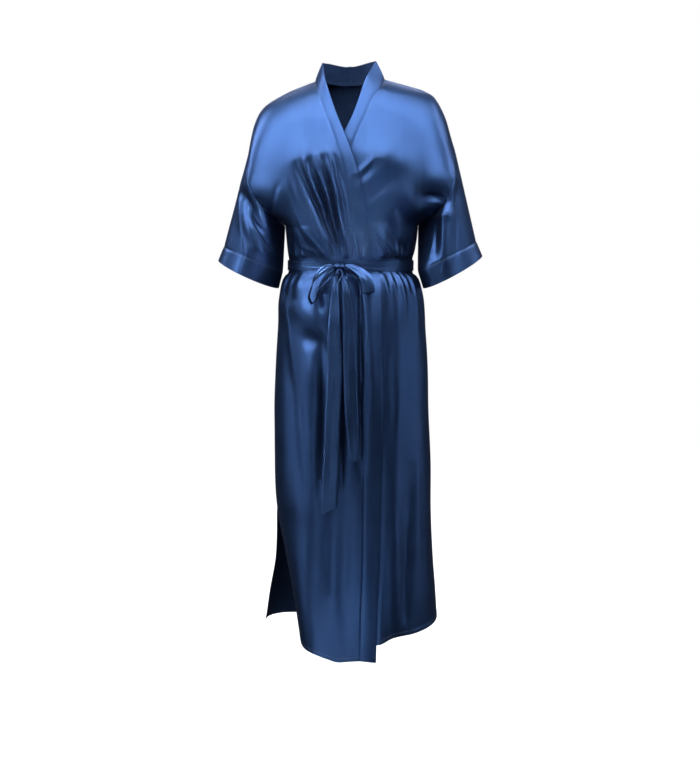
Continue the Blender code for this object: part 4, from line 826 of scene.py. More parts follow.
def slit_side(points):
    """The side with the slit: a seam down to where it opens, and a turned hem from there."""
    away = distance_from(points, "left")
    z = points[..., 2]
    opened = turned_hem(away) * ramp(z, SLIT_Z, SLIT_Z - SLIT_EASE)
    return opened + seam_dip(away) * ramp(z, SLIT_Z - SLIT_EASE, SLIT_Z)


def drawn_in(edge, inner):
    """Half a seam's gap, square to an edge and towards the cloth beside it."""
    along = np.gradient(edge, axis=0)
    along /= np.linalg.norm(along, axis=-1, keepdims=True)
    step = inner - edge
    step = step - (step * along).sum(axis=-1, keepdims=True) * along
    return SEAM_GAP / 2 * step / np.maximum(np.linalg.norm(step, axis=-1, keepdims=True), 1e-9)


print("a seam dips", SEAM_DIP * 1000, "mm, a hem is turned", HEM_TURN * 1000, "mm")

# %% A piece of thin cloth
SHEER = 0.0008
DOUBLE = 0.0014
SMOOTH_SEAM = 0.6
WELD_DIGITS = 5
SHARP_EDGE = 50


def placed(name, data):
    """Puts a mesh, a light or a camera into the scene."""
    made = bpy.data.objects.new(name, data)
    bpy.context.scene.collection.objects.link(made)
    return made


class Cloth:
    """A piece of cloth: rows of points on the form, how far its face lies off them, a thickness."""

    def __init__(self, node, points, lift=0.0, wall=SHEER, ring=False, flip=False):
        self.node = node
        self.points = points
        self.lift = np.zeros(points.shape[:2]) + lift
        self.wall = wall
        self.ring = ring
        self.normals = self.outward() * (-1 if flip else 1)

    def outward(self):
        """Unit directions square to the rows and columns."""
        points = self.points
        if self.ring:
            wide = np.concatenate([points[:, -1:], points, points[:, :1]], axis=1)
            across = np.gradient(wide, axis=1)[:, 1:-1]
        else:
            across = np.gradient(points, axis=1)
        down = np.gradient(points, axis=0)
        normal = np.cross(across, down)
        size = np.linalg.norm(normal, axis=-1, keepdims=True)
        return normal / np.maximum(size, 1e-12)

    def edge_cells(self):
        """The cells on the piece's seams and free edges."""
        edge = np.zeros(self.points.shape[:2], bool)
        edge[0] = True
        edge[-1] = True
        if not self.ring:
            edge[:, 0] = True
            edge[:, -1] = True
        return edge

    def face(self, depth=0.0):
        """The outer face, or one that lies deeper by some depth, drawn in at its edges."""
        faces = self.points + self.normals * (self.lift - depth)[..., None]
        drawn = faces.copy()
        for edge, inner in ((0, 1), (-1, -2)):
            drawn[edge] += drawn_in(faces[edge], faces[inner])
            if not self.ring:
                drawn[:, edge] += drawn_in(faces[:, edge], faces[:, inner])
        return drawn

    def quads(self):
        """Corners of every cell: the outer face's, the inner face's, then the rims'."""
        rows, columns = self.points.shape[:2]
        last = columns if self.ring else columns - 1
        behind = rows * columns
        corner = np.arange(behind).reshape(rows, columns)
        beside = np.roll(corner, -1, axis=1)[:, :last]
        first = corner[:, :last]
        outer = np.stack([first[:-1], beside[:-1], beside[1:], first[1:]], axis=-1).reshape(-1, 4)
        rims = [(first[0], beside[0], 1), (first[-1], beside[-1], -1)]
        if not self.ring:
            rims += [(corner[:-1, 0], corner[1:, 0], -1), (corner[:-1, -1], corner[1:, -1], 1)]
        parts = [outer, outer[:, ::-1] + behind]
        for a, b, turn in rims:
            parts.append(np.stack([a, a + behind, b + behind, b][::turn], axis=-1))
        return np.concatenate(parts), len(outer)

    def build(self, face_satin, back_satin):
        """Makes the closed sheet, which stands for its node."""
        quads, cells = self.quads()
        spots = np.concatenate([self.face(depth).reshape(-1, 3) for depth in (0.0, self.wall)])
        data = bpy.data.meshes.new(self.node + "_cloth")
        data.from_pydata(spots.tolist(), [], quads.tolist())
        data.materials.append(face_satin)
        data.materials.append(back_satin)
        index = np.zeros(len(quads), int)
        index[cells:2 * cells] = 1
        # A grid may run the other way round. Its faces are then turned to look outward.
        a, b, _, d = (spots[corner] for corner in quads[:cells].T)
        outward = self.normals.reshape(-1, 3)[quads[:cells, 0]]
        if (np.cross(b - a, d - a) * outward).sum() < 0:
            data.flip_normals()
        data.polygons.foreach_set("material_index", index)
        data.shade_smooth()
        data.set_sharp_from_angle(angle=math.radians(SHARP_EDGE))
        made = placed(self.node + "_cloth", data)
        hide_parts(self.node)
        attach(made, "root")
        return made


def share_seams(cloths):
    """Gives neighbours the same outward direction where their edges meet."""
    total = {}
    spots = []
    for cloth in cloths:
        for r, c in np.argwhere(cloth.edge_cells()):
            key = tuple(np.round(cloth.points[r, c], WELD_DIGITS))
            total[key] = total.get(key, 0) + cloth.normals[r, c]
            spots.append((cloth, r, c, key))
    for cloth, r, c, key in spots:
        mean = total[key] / max(np.linalg.norm(total[key]), 1e-9)
        if mean @ cloth.normals[r, c] > SMOOTH_SEAM:
            cloth.normals[r, c] = mean


print("satin", SHEER * 1000, "mm, doubled", DOUBLE * 1000, "mm")

# %% [markdown]
# ## Satin
# Satin weave floats its threads over several others, so light runs along them: broad coloured
# highlights, deep shadows between, little plain colour. A nearly metallic shader with the dye as
# its colour gives that. A fine bump holds the weave, a larger noise the small unevenness of the
# sheen. The back of the cloth has the shine taken down and a darker dye, which is painted shade
# for the inside of the robe. The belt's paler dye is painted light.

# %% Satin materials
DYE = (0.098, 0.222, 0.600)
DEEP_DYE = (0.084, 0.192, 0.530)
# The belt is the robe's satin, folded double; its paler dye is painted light, which makes the belt,
# knot, bow and tails look lighter than the panels behind them
BELT_DYE_PAINTED_PALER = (0.120, 0.266, 0.690)
# The back of the cloth: the satin made duller, and a darker dye that is painted shade for the inside of the
# robe
REVERSE_DYE_WITH_PAINTED_SHADE = (0.030, 0.070, 0.200)
WEAVE_SCALE = 900.0
WEAVE_DEPTH = 0.00004
WEAVE_WOBBLE = 1.5
WEAVE_STRENGTH = 0.35
SHEEN_SCALE = 22.0
SHEEN_DETAIL = 4
# How far the roughness drifts to either side, over the middle of the noise's range
SHINE_DRIFT = (-0.03, 0.04)
NOISE_MIDDLE = (0.3, 0.7)
FUZZ = 0.03
FUZZ_ROUGHNESS = 0.4


def dyed(name, scale, detail, deep, dye):
    """A material whose dye drifts between two tones, with its noise and where that is read."""
    material = bpy.data.materials.new(name)
    material.use_nodes = True
    nodes = material.node_tree.nodes
    links = material.node_tree.links
    place = nodes.new("ShaderNodeTexCoord")
    uneven = nodes.new("ShaderNodeTexNoise")
    uneven.inputs["Scale"].default_value = scale
    uneven.inputs["Detail"].default_value = detail
    links.new(place.outputs["Object"], uneven.inputs["Vector"])
    tone = nodes.new("ShaderNodeMix")
    tone.data_type = "RGBA"
    tone.inputs["A"].default_value = (*deep, 1)
    tone.inputs["B"].default_value = (*dye, 1)
    links.new(uneven.outputs["Fac"], tone.inputs["Factor"])
    links.new(tone.outputs["Result"], nodes["Principled BSDF"].inputs["Base Color"])
    return material, place, uneven


def satin(name, dye, deep, metallic, roughness, weave):
    """Woven satin in one dye."""
    material, place, uneven = dyed(name, SHEEN_SCALE, SHEEN_DETAIL, deep, dye)
    nodes = material.node_tree.nodes
    links = material.node_tree.links
    shader = nodes["Principled BSDF"]
    shader.inputs["Metallic"].default_value = metallic
    shader.inputs["Sheen Weight"].default_value = FUZZ
    shader.inputs["Sheen Roughness"].default_value = FUZZ_ROUGHNESS

    shine = nodes.new("ShaderNodeMapRange")
    shine.inputs["From Min"].default_value = NOISE_MIDDLE[0]
    shine.inputs["From Max"].default_value = NOISE_MIDDLE[1]
    shine.inputs["To Min"].default_value = roughness + SHINE_DRIFT[0]
    shine.inputs["To Max"].default_value = roughness + SHINE_DRIFT[1]
    links.new(uneven.outputs["Fac"], shine.inputs["Value"])
    links.new(shine.outputs["Result"], shader.inputs["Roughness"])

    threads = nodes.new("ShaderNodeTexWave")
    threads.wave_type = "BANDS"
    threads.bands_direction = "DIAGONAL"
    threads.inputs["Scale"].default_value = weave
    threads.inputs["Distortion"].default_value = WEAVE_WOBBLE
    threads.inputs["Detail"].default_value = 1
    links.new(place.outputs["Object"], threads.inputs["Vector"])
    bump = nodes.new("ShaderNodeBump")
    bump.inputs["Strength"].default_value = WEAVE_STRENGTH
    bump.inputs["Distance"].default_value = WEAVE_DEPTH
    links.new(threads.outputs["Fac"], bump.inputs["Height"])
    links.new(bump.outputs["Normal"], shader.inputs["Normal"])
    print("made", name)
    return material


face_satin = satin("robe_satin_face", DYE, DEEP_DYE, 0.92, 0.33, WEAVE_SCALE)
# The belt, knot, bow and tails get the paler dye, which is painted light
belt_satin = satin("belt_satin_painted_paler", BELT_DYE_PAINTED_PALER, DYE, 0.92, 0.31, WEAVE_SCALE * 1.1)
# The inner face: duller, and darker by painted shade for the inside of the robe
back_satin = satin("satin_reverse_painted_shade", REVERSE_DYE_WITH_PAINTED_SHADE, DEEP_DYE, 0.15, 0.55, WEAVE_SCALE)

# %% [markdown]
# ## Fronts, back and neckband
# The right front lies over the left one, so it is lifted by the thickness of what is under it and
# the left front is pressed in where it is covered. Each front ends at the seam of its neckband,
# and the band runs on from there up round the neck.

# %% Right front
level = LEVELS[:, None]
# Columns are closer together where the pulls fan out to the knot
FAN_FOCUS = 0.12


def right_front():
    """The right front, on top, from its side seam to the seam of the neckband."""
    seam = find_side(RIGHT_BAND, "seam", LEVELS, RIGHT_FRONT_HEM)
    share = spread(SIDE_COLUMNS)
    share = share + FAN_FOCUS * np.sin(math.pi * share)
    side = -1 + (seam[:, None] + 1) * share
    points = form(-1, side, level, RIGHT_FRONT_HEM)
    lift = relief(-1, points, side, level) + over_lift(points) * PANEL_LIFT
    lift += seam_dip(distance_from(points, "right"))
    lift += turned_hem(distance_from(points, "bottom"))
    lift += slit_side(points)
    return points, side, lift, seam


right, right_side, right_lift, right_seam = right_front()
print("right front:", right.shape[0], "rows of", right.shape[1])

# %% Left front


def left_front():
    """The left front, underneath, from the seam of the neckband to its side seam."""
    seam = find_side(LEFT_BAND, "seam", LEVELS, LEFT_FRONT_HEM)
    crossing = find_side(RIGHT_BAND, "edge", LEVELS, LEFT_FRONT_HEM)
    tucked = TUCK_COLUMNS / (SIDE_COLUMNS + TUCK_COLUMNS)
    shown = np.maximum(crossing + UNDER_SHOWN, seam + (1 - seam) * tucked)
    tuck = np.linspace(0, 1, TUCK_COLUMNS + 1)[:-1]
    side = np.concatenate([seam[:, None] + (shown - seam)[:, None] * tuck,
                           shown[:, None] + (1 - shown)[:, None] * spread(SIDE_COLUMNS)], axis=1)
    points = form(-1, side, level, LEFT_FRONT_HEM)
    lift = under_lift(points, relief(-1, points, side, level))
    lift += seam_dip(distance_from(points, "left")) + seam_dip(distance_from(points, "right"))
    lift += turned_hem(distance_from(points, "bottom"))
    return points, side, lift, seam


left, left_side, left_lift, left_seam = left_front()
print("left front:", left.shape[0], "rows of", left.shape[1])

# %% Back


def back(right_sides, left_sides):
    """The back, in one piece, from one side seam to the other."""
    share = np.linspace(0, 1, NECK_COLUMNS + 1)
    side = np.concatenate([right_sides, right_sides[-1] * (1 - share[1:]),
                           left_sides[0] * share[1:-1], left_sides])
    neck_half = np.where(side < 0, -right_sides[-1], left_sides[0])
    top = BACK_NECK_LEVEL * np.cos(math.pi / 2 * np.clip(np.abs(side) / neck_half, 0, 1))
    levels = np.where(level < 1, top + (1 - top) * level, level)
    points = form(1, side, levels, BACK_HEM)
    lift = relief(1, points, side, levels)
    lift += turned_hem(distance_from(points, "bottom"))
    lift += seam_dip(distance_from(points, "right"))
    lift += slit_side(points)
    return points, side, lift, top


rear, rear_side, rear_lift, rear_top = back(right_side[0], left_side[0])
print("back:", rear.shape[0], "rows of", rear.shape[1])

# %% [markdown]
# ## Neckband
# The band is a strip folded double and sewn to both fronts and round the neck. It is thicker
# than the panels and a little crowned, with a dip at its seam and a pressed line along it. It
# could be bent from a straight strip, but a worn band stretches along its free edge, so it is
# drawn from its two edges instead.

# %% Neckband halves
BAND_CROWN = 0.0006
# How far the band's free edge stands up beside the neck, and how its back half leans in and rises
Stand = namedtuple("Stand", "level rise")
STAND = [Stand(0.0, 0.036), Stand(0.1, 0.021), Stand(0.2, 0.010), Stand(0.32, 0.003),
         Stand(0.44, 0.0), Stand(3.0, 0.0)]
NECK_LEAN = 0.76
NECK_RISE = 0.0385


def band(hand, table, seam, hem, back_side, back_top):
    """Half of the neckband, from the middle of the back round the neck and down one front."""
    edge = find_side(table, "edge", LEVELS, hem)
    share = np.linspace(0, 1, BAND_COLUMNS + 1)
    side = seam[:, None] + (edge - seam)[:, None] * share
    front = form(-1, side, level, hem)
    front_lift = relief(-1, front, side, level)
    front[..., 2] += smooth(STAND, "level", "rise", LEVELS)[:, None] * share
    neck = back_side * hand >= -1e-9
    neck &= np.abs(back_side) < np.abs(seam[0]) - 1e-6
    sides = back_side[neck]
    tops = back_top[neck]
    order = np.argsort(np.abs(sides))
    foot = form(1, sides[order], tops[order], BACK_HEM)
    head = foot * np.array([NECK_LEAN, NECK_LEAN, 1]) + np.array([0, 0, NECK_RISE])
    behind = foot[:, None] + (head - foot)[:, None] * share[:, None]
    points = np.concatenate([behind, front])
    lift = np.concatenate([np.zeros(behind.shape[:2]), front_lift])
    lift = lift + over_lift(points) * BAND_LIFT if hand < 0 else under_lift(points, lift)
    crown = BAND_CROWN * np.sin(math.pi * share) ** 0.5
    away = distance_from(points, "left")
    return points, lift + crown + pressed_line(away) + seam_dip(away)


right_band, right_band_lift = band(-1, RIGHT_BAND, right_seam, RIGHT_FRONT_HEM, rear_side, rear_top)
left_band, left_band_lift = band(1, LEFT_BAND, left_seam, LEFT_FRONT_HEM, rear_side, rear_top)
print("neckband:", right_band.shape[0], "rows a side")

# %% [markdown]
# ## Sleeves and cuffs
# The shoulder is dropped, so the sleeve is a short wide tube sewn on at the upper arm. Its first
# ring is the armhole itself and its last is the seam of the cuff, with even steps between. The
# cuff is a doubled band, so it is thicker and hangs smoother.

# %% Sleeve and cuff rings
# Ends of each sleeve: the outer and inner points of the cuff's seam and of its lower edge,
# and how far forward the inner side is drawn
Cuff = namedtuple("Cuff", "seam_out seam_out_z seam_in seam_in_z "
                          "edge_out edge_out_z edge_in edge_in_z forward")
CUFFS = {
    -1: Cuff(0.2731, -0.364, 0.1450, -0.414, 0.2856, -0.394, 0.1550, -0.4530, 0.010),
    1: Cuff(0.2732, -0.353, 0.1450, -0.413, 0.2867, -0.384, 0.1575, -0.4520, 0.045),
}
CUFF_DROOP = 0.006
CUFF_DEPTH = 0.068
SLEEVE_RINGS = 64
CUFF_RINGS = 16


def sleeve_ring(sign, share, cuff_share):
    """One ring of a sleeve: share 0 at the armhole, 1 at the cuff's seam, then down the cuff."""
    front = form(-1, np.full(len(YOKE), float(sign)), YOKE, RIGHT_FRONT_HEM)
    behind = form(1, np.full(len(YOKE), float(sign)), YOKE, BACK_HEM)
    arm = np.concatenate([front, behind[-2:0:-1]])
    angle = math.pi * np.concatenate([YOKE, 2 - YOKE[-2:0:-1]])
    cuff = CUFFS[sign]
    seam = np.array(cuff[:4])
    edge = np.array(cuff[4:8])
    out_x, out_z, in_x, in_z = seam + (edge - seam) * cuff_share
    near = (1 + np.cos(angle)) / 2
    x = sign * (in_x + (out_x - in_x) * near)
    z = in_z + (out_z - in_z) * near
    y = -CUFF_DEPTH * np.sin(angle) - cuff.forward * (1 - near)
    z -= CUFF_DROOP * cuff_share * np.sin(angle)
    end = np.stack([x, y, z], axis=-1)
    return arm + (end - arm) * share


def sleeve_relief(points, rounded):
    """The folds that run on over the armhole seam, front and back, and how round the top is."""
    fronts = fold_heights(wandered(-1, points), FRONT_FOLDS)
    behinds = fold_heights(wandered(1, points), BACK_FOLDS)
    y = points[..., 1]
    height = np.where(y < 0, fronts, behinds) * ramp(np.abs(y), 0, RELIEF_FADE_Y)
    fine = np.where(y < 0, crisp(-1, points), crisp(1, points))
    return height * away_from_underarm(points) + fine + rounded * shoulder_round(points)


def sleeve_rings(sign):
    """Rings of a sleeve and of its cuff, with how far the cloth lies off them."""
    sleeve = np.stack([sleeve_ring(sign, share, 0) for share in spread(SLEEVE_RINGS)])
    cuff = np.stack([sleeve_ring(sign, 1, share) for share in spread(CUFF_RINGS)])
    still_round = 1 - spread(SLEEVE_RINGS)[:, None]
    sleeve_lift = sleeve_relief(sleeve, still_round) + seam_dip(distance_from(sleeve, "bottom"))
    sleeve_lift += seam_dip(distance_from(sleeve, "top"))
    cuff_lift = sleeve_relief(cuff, 0.0)
    away = distance_from(cuff, "top")
    cuff_lift += BAND_CROWN + seam_dip(away) + pressed_line(away)
    return sleeve, sleeve_lift, cuff, cuff_lift


print("rings of a sleeve:", SLEEVE_RINGS + 1, "of a cuff:", CUFF_RINGS + 1)

# %% Lay out the panels, the neckband, the sleeves and the cuffs
cloths = [
    Cloth("front_right", right, right_lift, flip=True),
    Cloth("front_left", left, left_lift, flip=True),
    Cloth("back", rear, rear_lift),
    Cloth("neckband_right", right_band, right_band_lift, DOUBLE, flip=True),
    Cloth("neckband_left", left_band, left_band_lift, DOUBLE),
]
for sign, hand in ((-1, "right"), (1, "left")):
    sleeve, sleeve_lift, cuff, cuff_lift = sleeve_rings(sign)
    cloths.append(Cloth("sleeve_" + hand, sleeve, sleeve_lift, ring=True, flip=sign < 0))
    cloths.append(Cloth("cuff_" + hand, cuff, cuff_lift, DOUBLE, ring=True, flip=sign < 0))
share_seams(cloths)
print("cloth pieces laid out:", len(cloths))

# %% [markdown]
# ## Belt, knot and bow
# The belt is one long strip folded double, about 35 mm wide. It goes round the waist, is drawn
# narrow into the knot, and comes out as two loops, a small loop and two tails. Each run is a
# ribbon along its own route: a table gives its middle line, width and tilt. A crease or two along
# each ribbon, pinched where it enters the knot, keeps it from looking like card.

# %% Belt round the waist
# Height of the belt's edges by how far round they are, and where it steps down off the band
BeltEdge = namedtuple("BeltEdge", "side front_top front_bottom")
BELT_EDGES = [
    BeltEdge(-1.00, -0.3940, -0.4150), BeltEdge(-0.60, -0.3950, -0.4140),
    BeltEdge(-0.22, -0.3990, -0.4100), BeltEdge(-0.10, -0.4000, -0.4100),
    BeltEdge(0.06, -0.4000, -0.4110), BeltEdge(0.35, -0.3950, -0.4150),
    BeltEdge(1.00, -0.3940, -0.4160),
]
BELT_STEP_DOWN = (0.060, 0.090)
KNOT_RIGHT_SIDE = -0.145
KNOT_LEFT_SIDE = -0.095
BELT_STEP_FINE = 0.012
BELT_ACROSS = 12
BELT_CREASE = 0.0011
# The knot draws the crease together and up; a second crease joins it there
KNOT_SIDE = -0.12
KNOT_SPREAD = 0.35
CREASE_MIDDLE = 0.55
CREASE_SWAY = 0.10
CREASE_SWAY_RATE = 0.11
CREASE_DRAWN_UP = 0.12
CREASE_WIDTH = 0.07
SECOND_CREASE = 0.7
SECOND_CREASE_AT = 0.25
SECOND_CREASE_WIDTH = 0.08
CREASE_FAR = 0.35


def belt_points():
    """The belt round the waist, from one side of the knot round the back to the other."""
    front_right = np.arange(KNOT_RIGHT_SIDE, -1, -BELT_STEP_FINE)
    around = np.arange(-1, 1, BELT_STEP_FINE)
    front_left = np.arange(1, KNOT_LEFT_SIDE, -BELT_STEP_FINE)
    stops = ([(-1, s) for s in front_right] + [(1, s) for s in around]
             + [(-1, s) for s in front_left] + [(-1, KNOT_LEFT_SIDE)])
    across = np.linspace(0, 1, BELT_ACROSS + 1)
    rows = []
    lifts = []
    for index, (face, side) in enumerate(stops):
        edge = side if face < 0 else math.copysign(1, side)
        top = float(smooth(BELT_EDGES, "side", "front_top", edge))
        bottom = float(smooth(BELT_EDGES, "side", "front_bottom", edge))
        heights = top + (bottom - top) * across
        row = form(face, side, [level_of(z) for z in heights], BELT_HEM)
        rows.append(row)
        over = over_lift(row) * (1 - ramp(row[:, 0], *BELT_STEP_DOWN)) * (face < 0)
        near_knot = math.exp(-((side - KNOT_SIDE) / KNOT_SPREAD) ** 2) if face < 0 else 0.0
        middle = CREASE_MIDDLE + CREASE_SWAY * math.sin(index * CREASE_SWAY_RATE)
        middle -= CREASE_DRAWN_UP * near_knot
        second = np.exp(-((across - SECOND_CREASE_AT) / SECOND_CREASE_WIDTH) ** 2)
        crease = -np.exp(-((across - middle) / CREASE_WIDTH) ** 2) - SECOND_CREASE * near_knot * second
        depth = BELT_CREASE * (CREASE_FAR + (1 - CREASE_FAR) * near_knot) * crease
        lifts.append(over * BAND_LIFT + LAYER_GAP + BELT_WALL + depth)
    return np.stack(rows), np.stack(lifts)


belt, belt_lift = belt_points()
cloths.append(Cloth("belt_waist", belt, belt_lift, DOUBLE, flip=True))
print("belt:", belt.shape[0], "stations")

# %% Routes of the loops
# Middle line of each loop, its width, and which way the width runs: straight back at 0, with lean
# turning it up and swing turning it sideways
Ribbon = namedtuple("Ribbon", "x y z width lean swing")
BOW_RIGHT = [
    Ribbon(-0.0362, -0.1225, -0.4020, 0.006, 40, 0), Ribbon(-0.047, -0.1300, -0.4050, 0.014, 40, 0),
    Ribbon(-0.061, -0.1390, -0.4150, 0.022, 36, 0), Ribbon(-0.074, -0.1440, -0.4310, 0.027, 32, 4),
    Ribbon(-0.082, -0.1450, -0.4510, 0.028, 22, 6), Ribbon(-0.0855, -0.1450, -0.4690, 0.028, 12, 6),
    Ribbon(-0.0785, -0.1440, -0.4815, 0.028, 6, 6), Ribbon(-0.0700, -0.1430, -0.4720, 0.027, 12, 6),
    Ribbon(-0.065, -0.1410, -0.4550, 0.025, 22, 6), Ribbon(-0.057, -0.1370, -0.4380, 0.020, 30, 4),
    Ribbon(-0.047, -0.1310, -0.4240, 0.012, 36, 0), Ribbon(-0.0353, -0.1225, -0.4095, 0.006, 40, 0),
]
BOW_LEFT = [
    Ribbon(-0.0087, -0.1225, -0.4020, 0.006, 40, 0), Ribbon(0.003, -0.1310, -0.4050, 0.014, 42, 8),
    Ribbon(0.016, -0.1390, -0.4125, 0.021, 40, 24), Ribbon(0.028, -0.1425, -0.4220, 0.025, 28, 50),
    Ribbon(0.035, -0.1430, -0.4350, 0.027, 12, 74), Ribbon(0.037, -0.1425, -0.4490, 0.028, 4, 84),
    Ribbon(0.037, -0.1385, -0.4585, 0.028, 2, 86), Ribbon(0.036, -0.1340, -0.4500, 0.028, 4, 84),
    Ribbon(0.033, -0.1320, -0.4380, 0.026, 10, 76), Ribbon(0.024, -0.1300, -0.4270, 0.020, 24, 54),
    Ribbon(0.009, -0.1275, -0.4180, 0.012, 34, 24), Ribbon(-0.0097, -0.1225, -0.4095, 0.006, 40, 0),
]
KNOT_LOOP = [
    Ribbon(-0.0250, -0.1282, -0.4105, 0.007, 10, 0), Ribbon(-0.0280, -0.1318, -0.4170, 0.010, 10, 0),
    Ribbon(-0.0290, -0.1335, -0.4240, 0.011, 10, 0), Ribbon(-0.0245, -0.1340, -0.4310, 0.011, 6, 0),
    Ribbon(-0.0185, -0.1337, -0.4290, 0.011, 6, 0), Ribbon(-0.0160, -0.1320, -0.4215, 0.010, 8, 0),
    Ribbon(-0.0195, -0.1282, -0.4105, 0.007, 10, 0),
]
print("stations:", len(BOW_RIGHT), "and", len(BOW_LEFT), "on the bow,", len(KNOT_LOOP), "on the small loop")

# %% Loops of the bow
RIBBON_ROWS = 110
RIBBON_ACROSS = 14
RIBBON_CREASE = 0.0013
# Creases across a ribbon, deepest where it is pinched into the knot and faint on its loop
RIBBON_CREASES = 2.3
RIBBON_CREASE_DRIFT = 0.15
DRIFTS = 6
DRIFT_FROM = (3, 5)
PINCH_REACH = 0.22
CREASE_ON_LOOP = 0.20
FULL_WIDTH = 0.02
# A slow wave along the whole ribbon
RIBBON_WAVE = 0.0010
RIBBON_WAVES = 1.6
RIBBON_WAVE_SLANT = 0.5


def along_route(table, count):
    """Evenly spaced stations on a smooth curve through the rows of a table."""
    values = np.array([tuple(v) for v in table], float)
    gaps = np.linalg.norm(np.diff(values[:, :3], axis=0), axis=1)
    length = np.concatenate([[0], np.cumsum(gaps)])
    slope = np.gradient(values, length, axis=0)
    at = np.linspace(0, length[-1], count)
    i = np.clip(np.searchsorted(length, at) - 1, 0, len(length) - 2)
    span = (length[i + 1] - length[i])[:, None]
    t = (at - length[i])[:, None] / span
    return between(values[i], values[i + 1], slope[i], slope[i + 1], span, t)


def ribbon_points(table, seed):
    """A ribbon along a route, creased where it is pinched into the knot."""
    rows = along_route(table, RIBBON_ROWS)
    middle = rows[:, :3]
    along = np.gradient(middle, axis=0)
    along /= np.linalg.norm(along, axis=1, keepdims=True)
    lean = np.radians(rows[:, 4])
    swing = np.radians(rows[:, 5])
    level_part = np.cos(lean)
    across = np.stack([level_part * np.sin(swing), level_part * np.cos(swing), np.sin(lean)], axis=1)
    across -= (across * along).sum(axis=1, keepdims=True) * along
    across /= np.linalg.norm(across, axis=1, keepdims=True)
    share = np.linspace(-0.5, 0.5, RIBBON_ACROSS + 1)
    points = middle[:, None] + across[:, None] * (rows[:, 3:4] * share)[..., None]
    way = np.linspace(0, 1, RIBBON_ROWS)[:, None]
    pinch = np.exp(-(way / PINCH_REACH) ** 2) + np.exp(-((1 - way) / PINCH_REACH) ** 2)
    drift = RIBBON_CREASE_DRIFT * soft_noise(way * DRIFTS + DRIFT_FROM[0], share * 0 + DRIFT_FROM[1], seed)
    creases = np.cos(2 * math.pi * (share * RIBBON_CREASES + drift))
    lift = RIBBON_CREASE * (CREASE_ON_LOOP + (1 - CREASE_ON_LOOP) * pinch) * creases
    lift = lift * np.minimum(1, rows[:, 3:4] / FULL_WIDTH)
    wave = np.sin(2 * math.pi * (way * RIBBON_WAVES + share * RIBBON_WAVE_SLANT + seed))
    return points, lift + RIBBON_WAVE * wave


LOOPS = {"bow_right": BOW_RIGHT, "bow_left": BOW_LEFT, "knot_loop": KNOT_LOOP}
LOOP_SEED = 40
for index, (node, route) in enumerate(LOOPS.items()):
    points, lift = ribbon_points(route, LOOP_SEED + index)
    cloths.append(Cloth(node, points, lift, DOUBLE))
print("loops:", len(LOOPS))

# %% Routes of the tails
# Middle line of each tail seen from the front, its width, how far it hangs clear of the skirt, and
# how its cut end slants
Tail = namedtuple("Tail", "z x width clear")
LONG_TAIL = [
    Tail(-0.4136, -0.0264, 0.008, 0.0050), Tail(-0.4350, -0.0300, 0.013, 0.0056),
    Tail(-0.4700, -0.0320, 0.018, 0.0060), Tail(-0.5350, -0.0335, 0.026, 0.0040),
    Tail(-0.6160, -0.0330, 0.0305, 0.0035), Tail(-0.7220, -0.0375, 0.0315, 0.0035),
    Tail(-0.8250, -0.0405, 0.0330, 0.0035), Tail(-0.9177, -0.0450, 0.0310, 0.0035),
]
SHORT_TAIL = [
    Tail(-0.4137, -0.0176, 0.008, 0.0050), Tail(-0.4350, -0.0115, 0.012, 0.0056),
    Tail(-0.4700, -0.0065, 0.018, 0.0060), Tail(-0.5350, -0.0020, 0.024, 0.0040),
    Tail(-0.6160, 0.0000, 0.0275, 0.0035), Tail(-0.7340, 0.0045, 0.0265, 0.0035),
    Tail(-0.8107, 0.0086, 0.0200, 0.0035),
]
LONG_TAIL_SLANT = -0.0160
SHORT_TAIL_SLANT = 0.0080
SLANT_POWER = 6
print("the long tail hangs to", LONG_TAIL[-1].z, "m, the short one to", SHORT_TAIL[-1].z, "m")

# %% Tails
TAIL_ACROSS = 14
TAIL_ROWS_FINE = 120
TAIL_WAVE = 0.0012
TAIL_EDGE = 0.0018
TAIL_EDGE_POWER = 8
TAIL_SOFTENING = 12
# The tail takes up its turn between these shares of its length
TURN_BETWEEN = (0.05, 0.4)
# A slow wave down the tail that grows from the knot
WAVES_DOWN = 1.7
WAVES_ACROSS = 0.35
WAVE_APART = 0.37
WAVE_GROWS = (0, 0.3)
WAVE_SHARE = 0.4
# A soft fold along it that fades toward its end
FOLD_SWAY = 0.12
FOLD_SWAYS = 5
FOLD_FADES = (0.1, 0.6)
TAIL_FOLD_WIDTH = 0.10
TAIL_NOISE = 0.0006
TAIL_NOISE_CELLS = (14, 3)
TAIL_NOISE_FROM = (2, 9)
TAIL_NOISE_SEED = 50


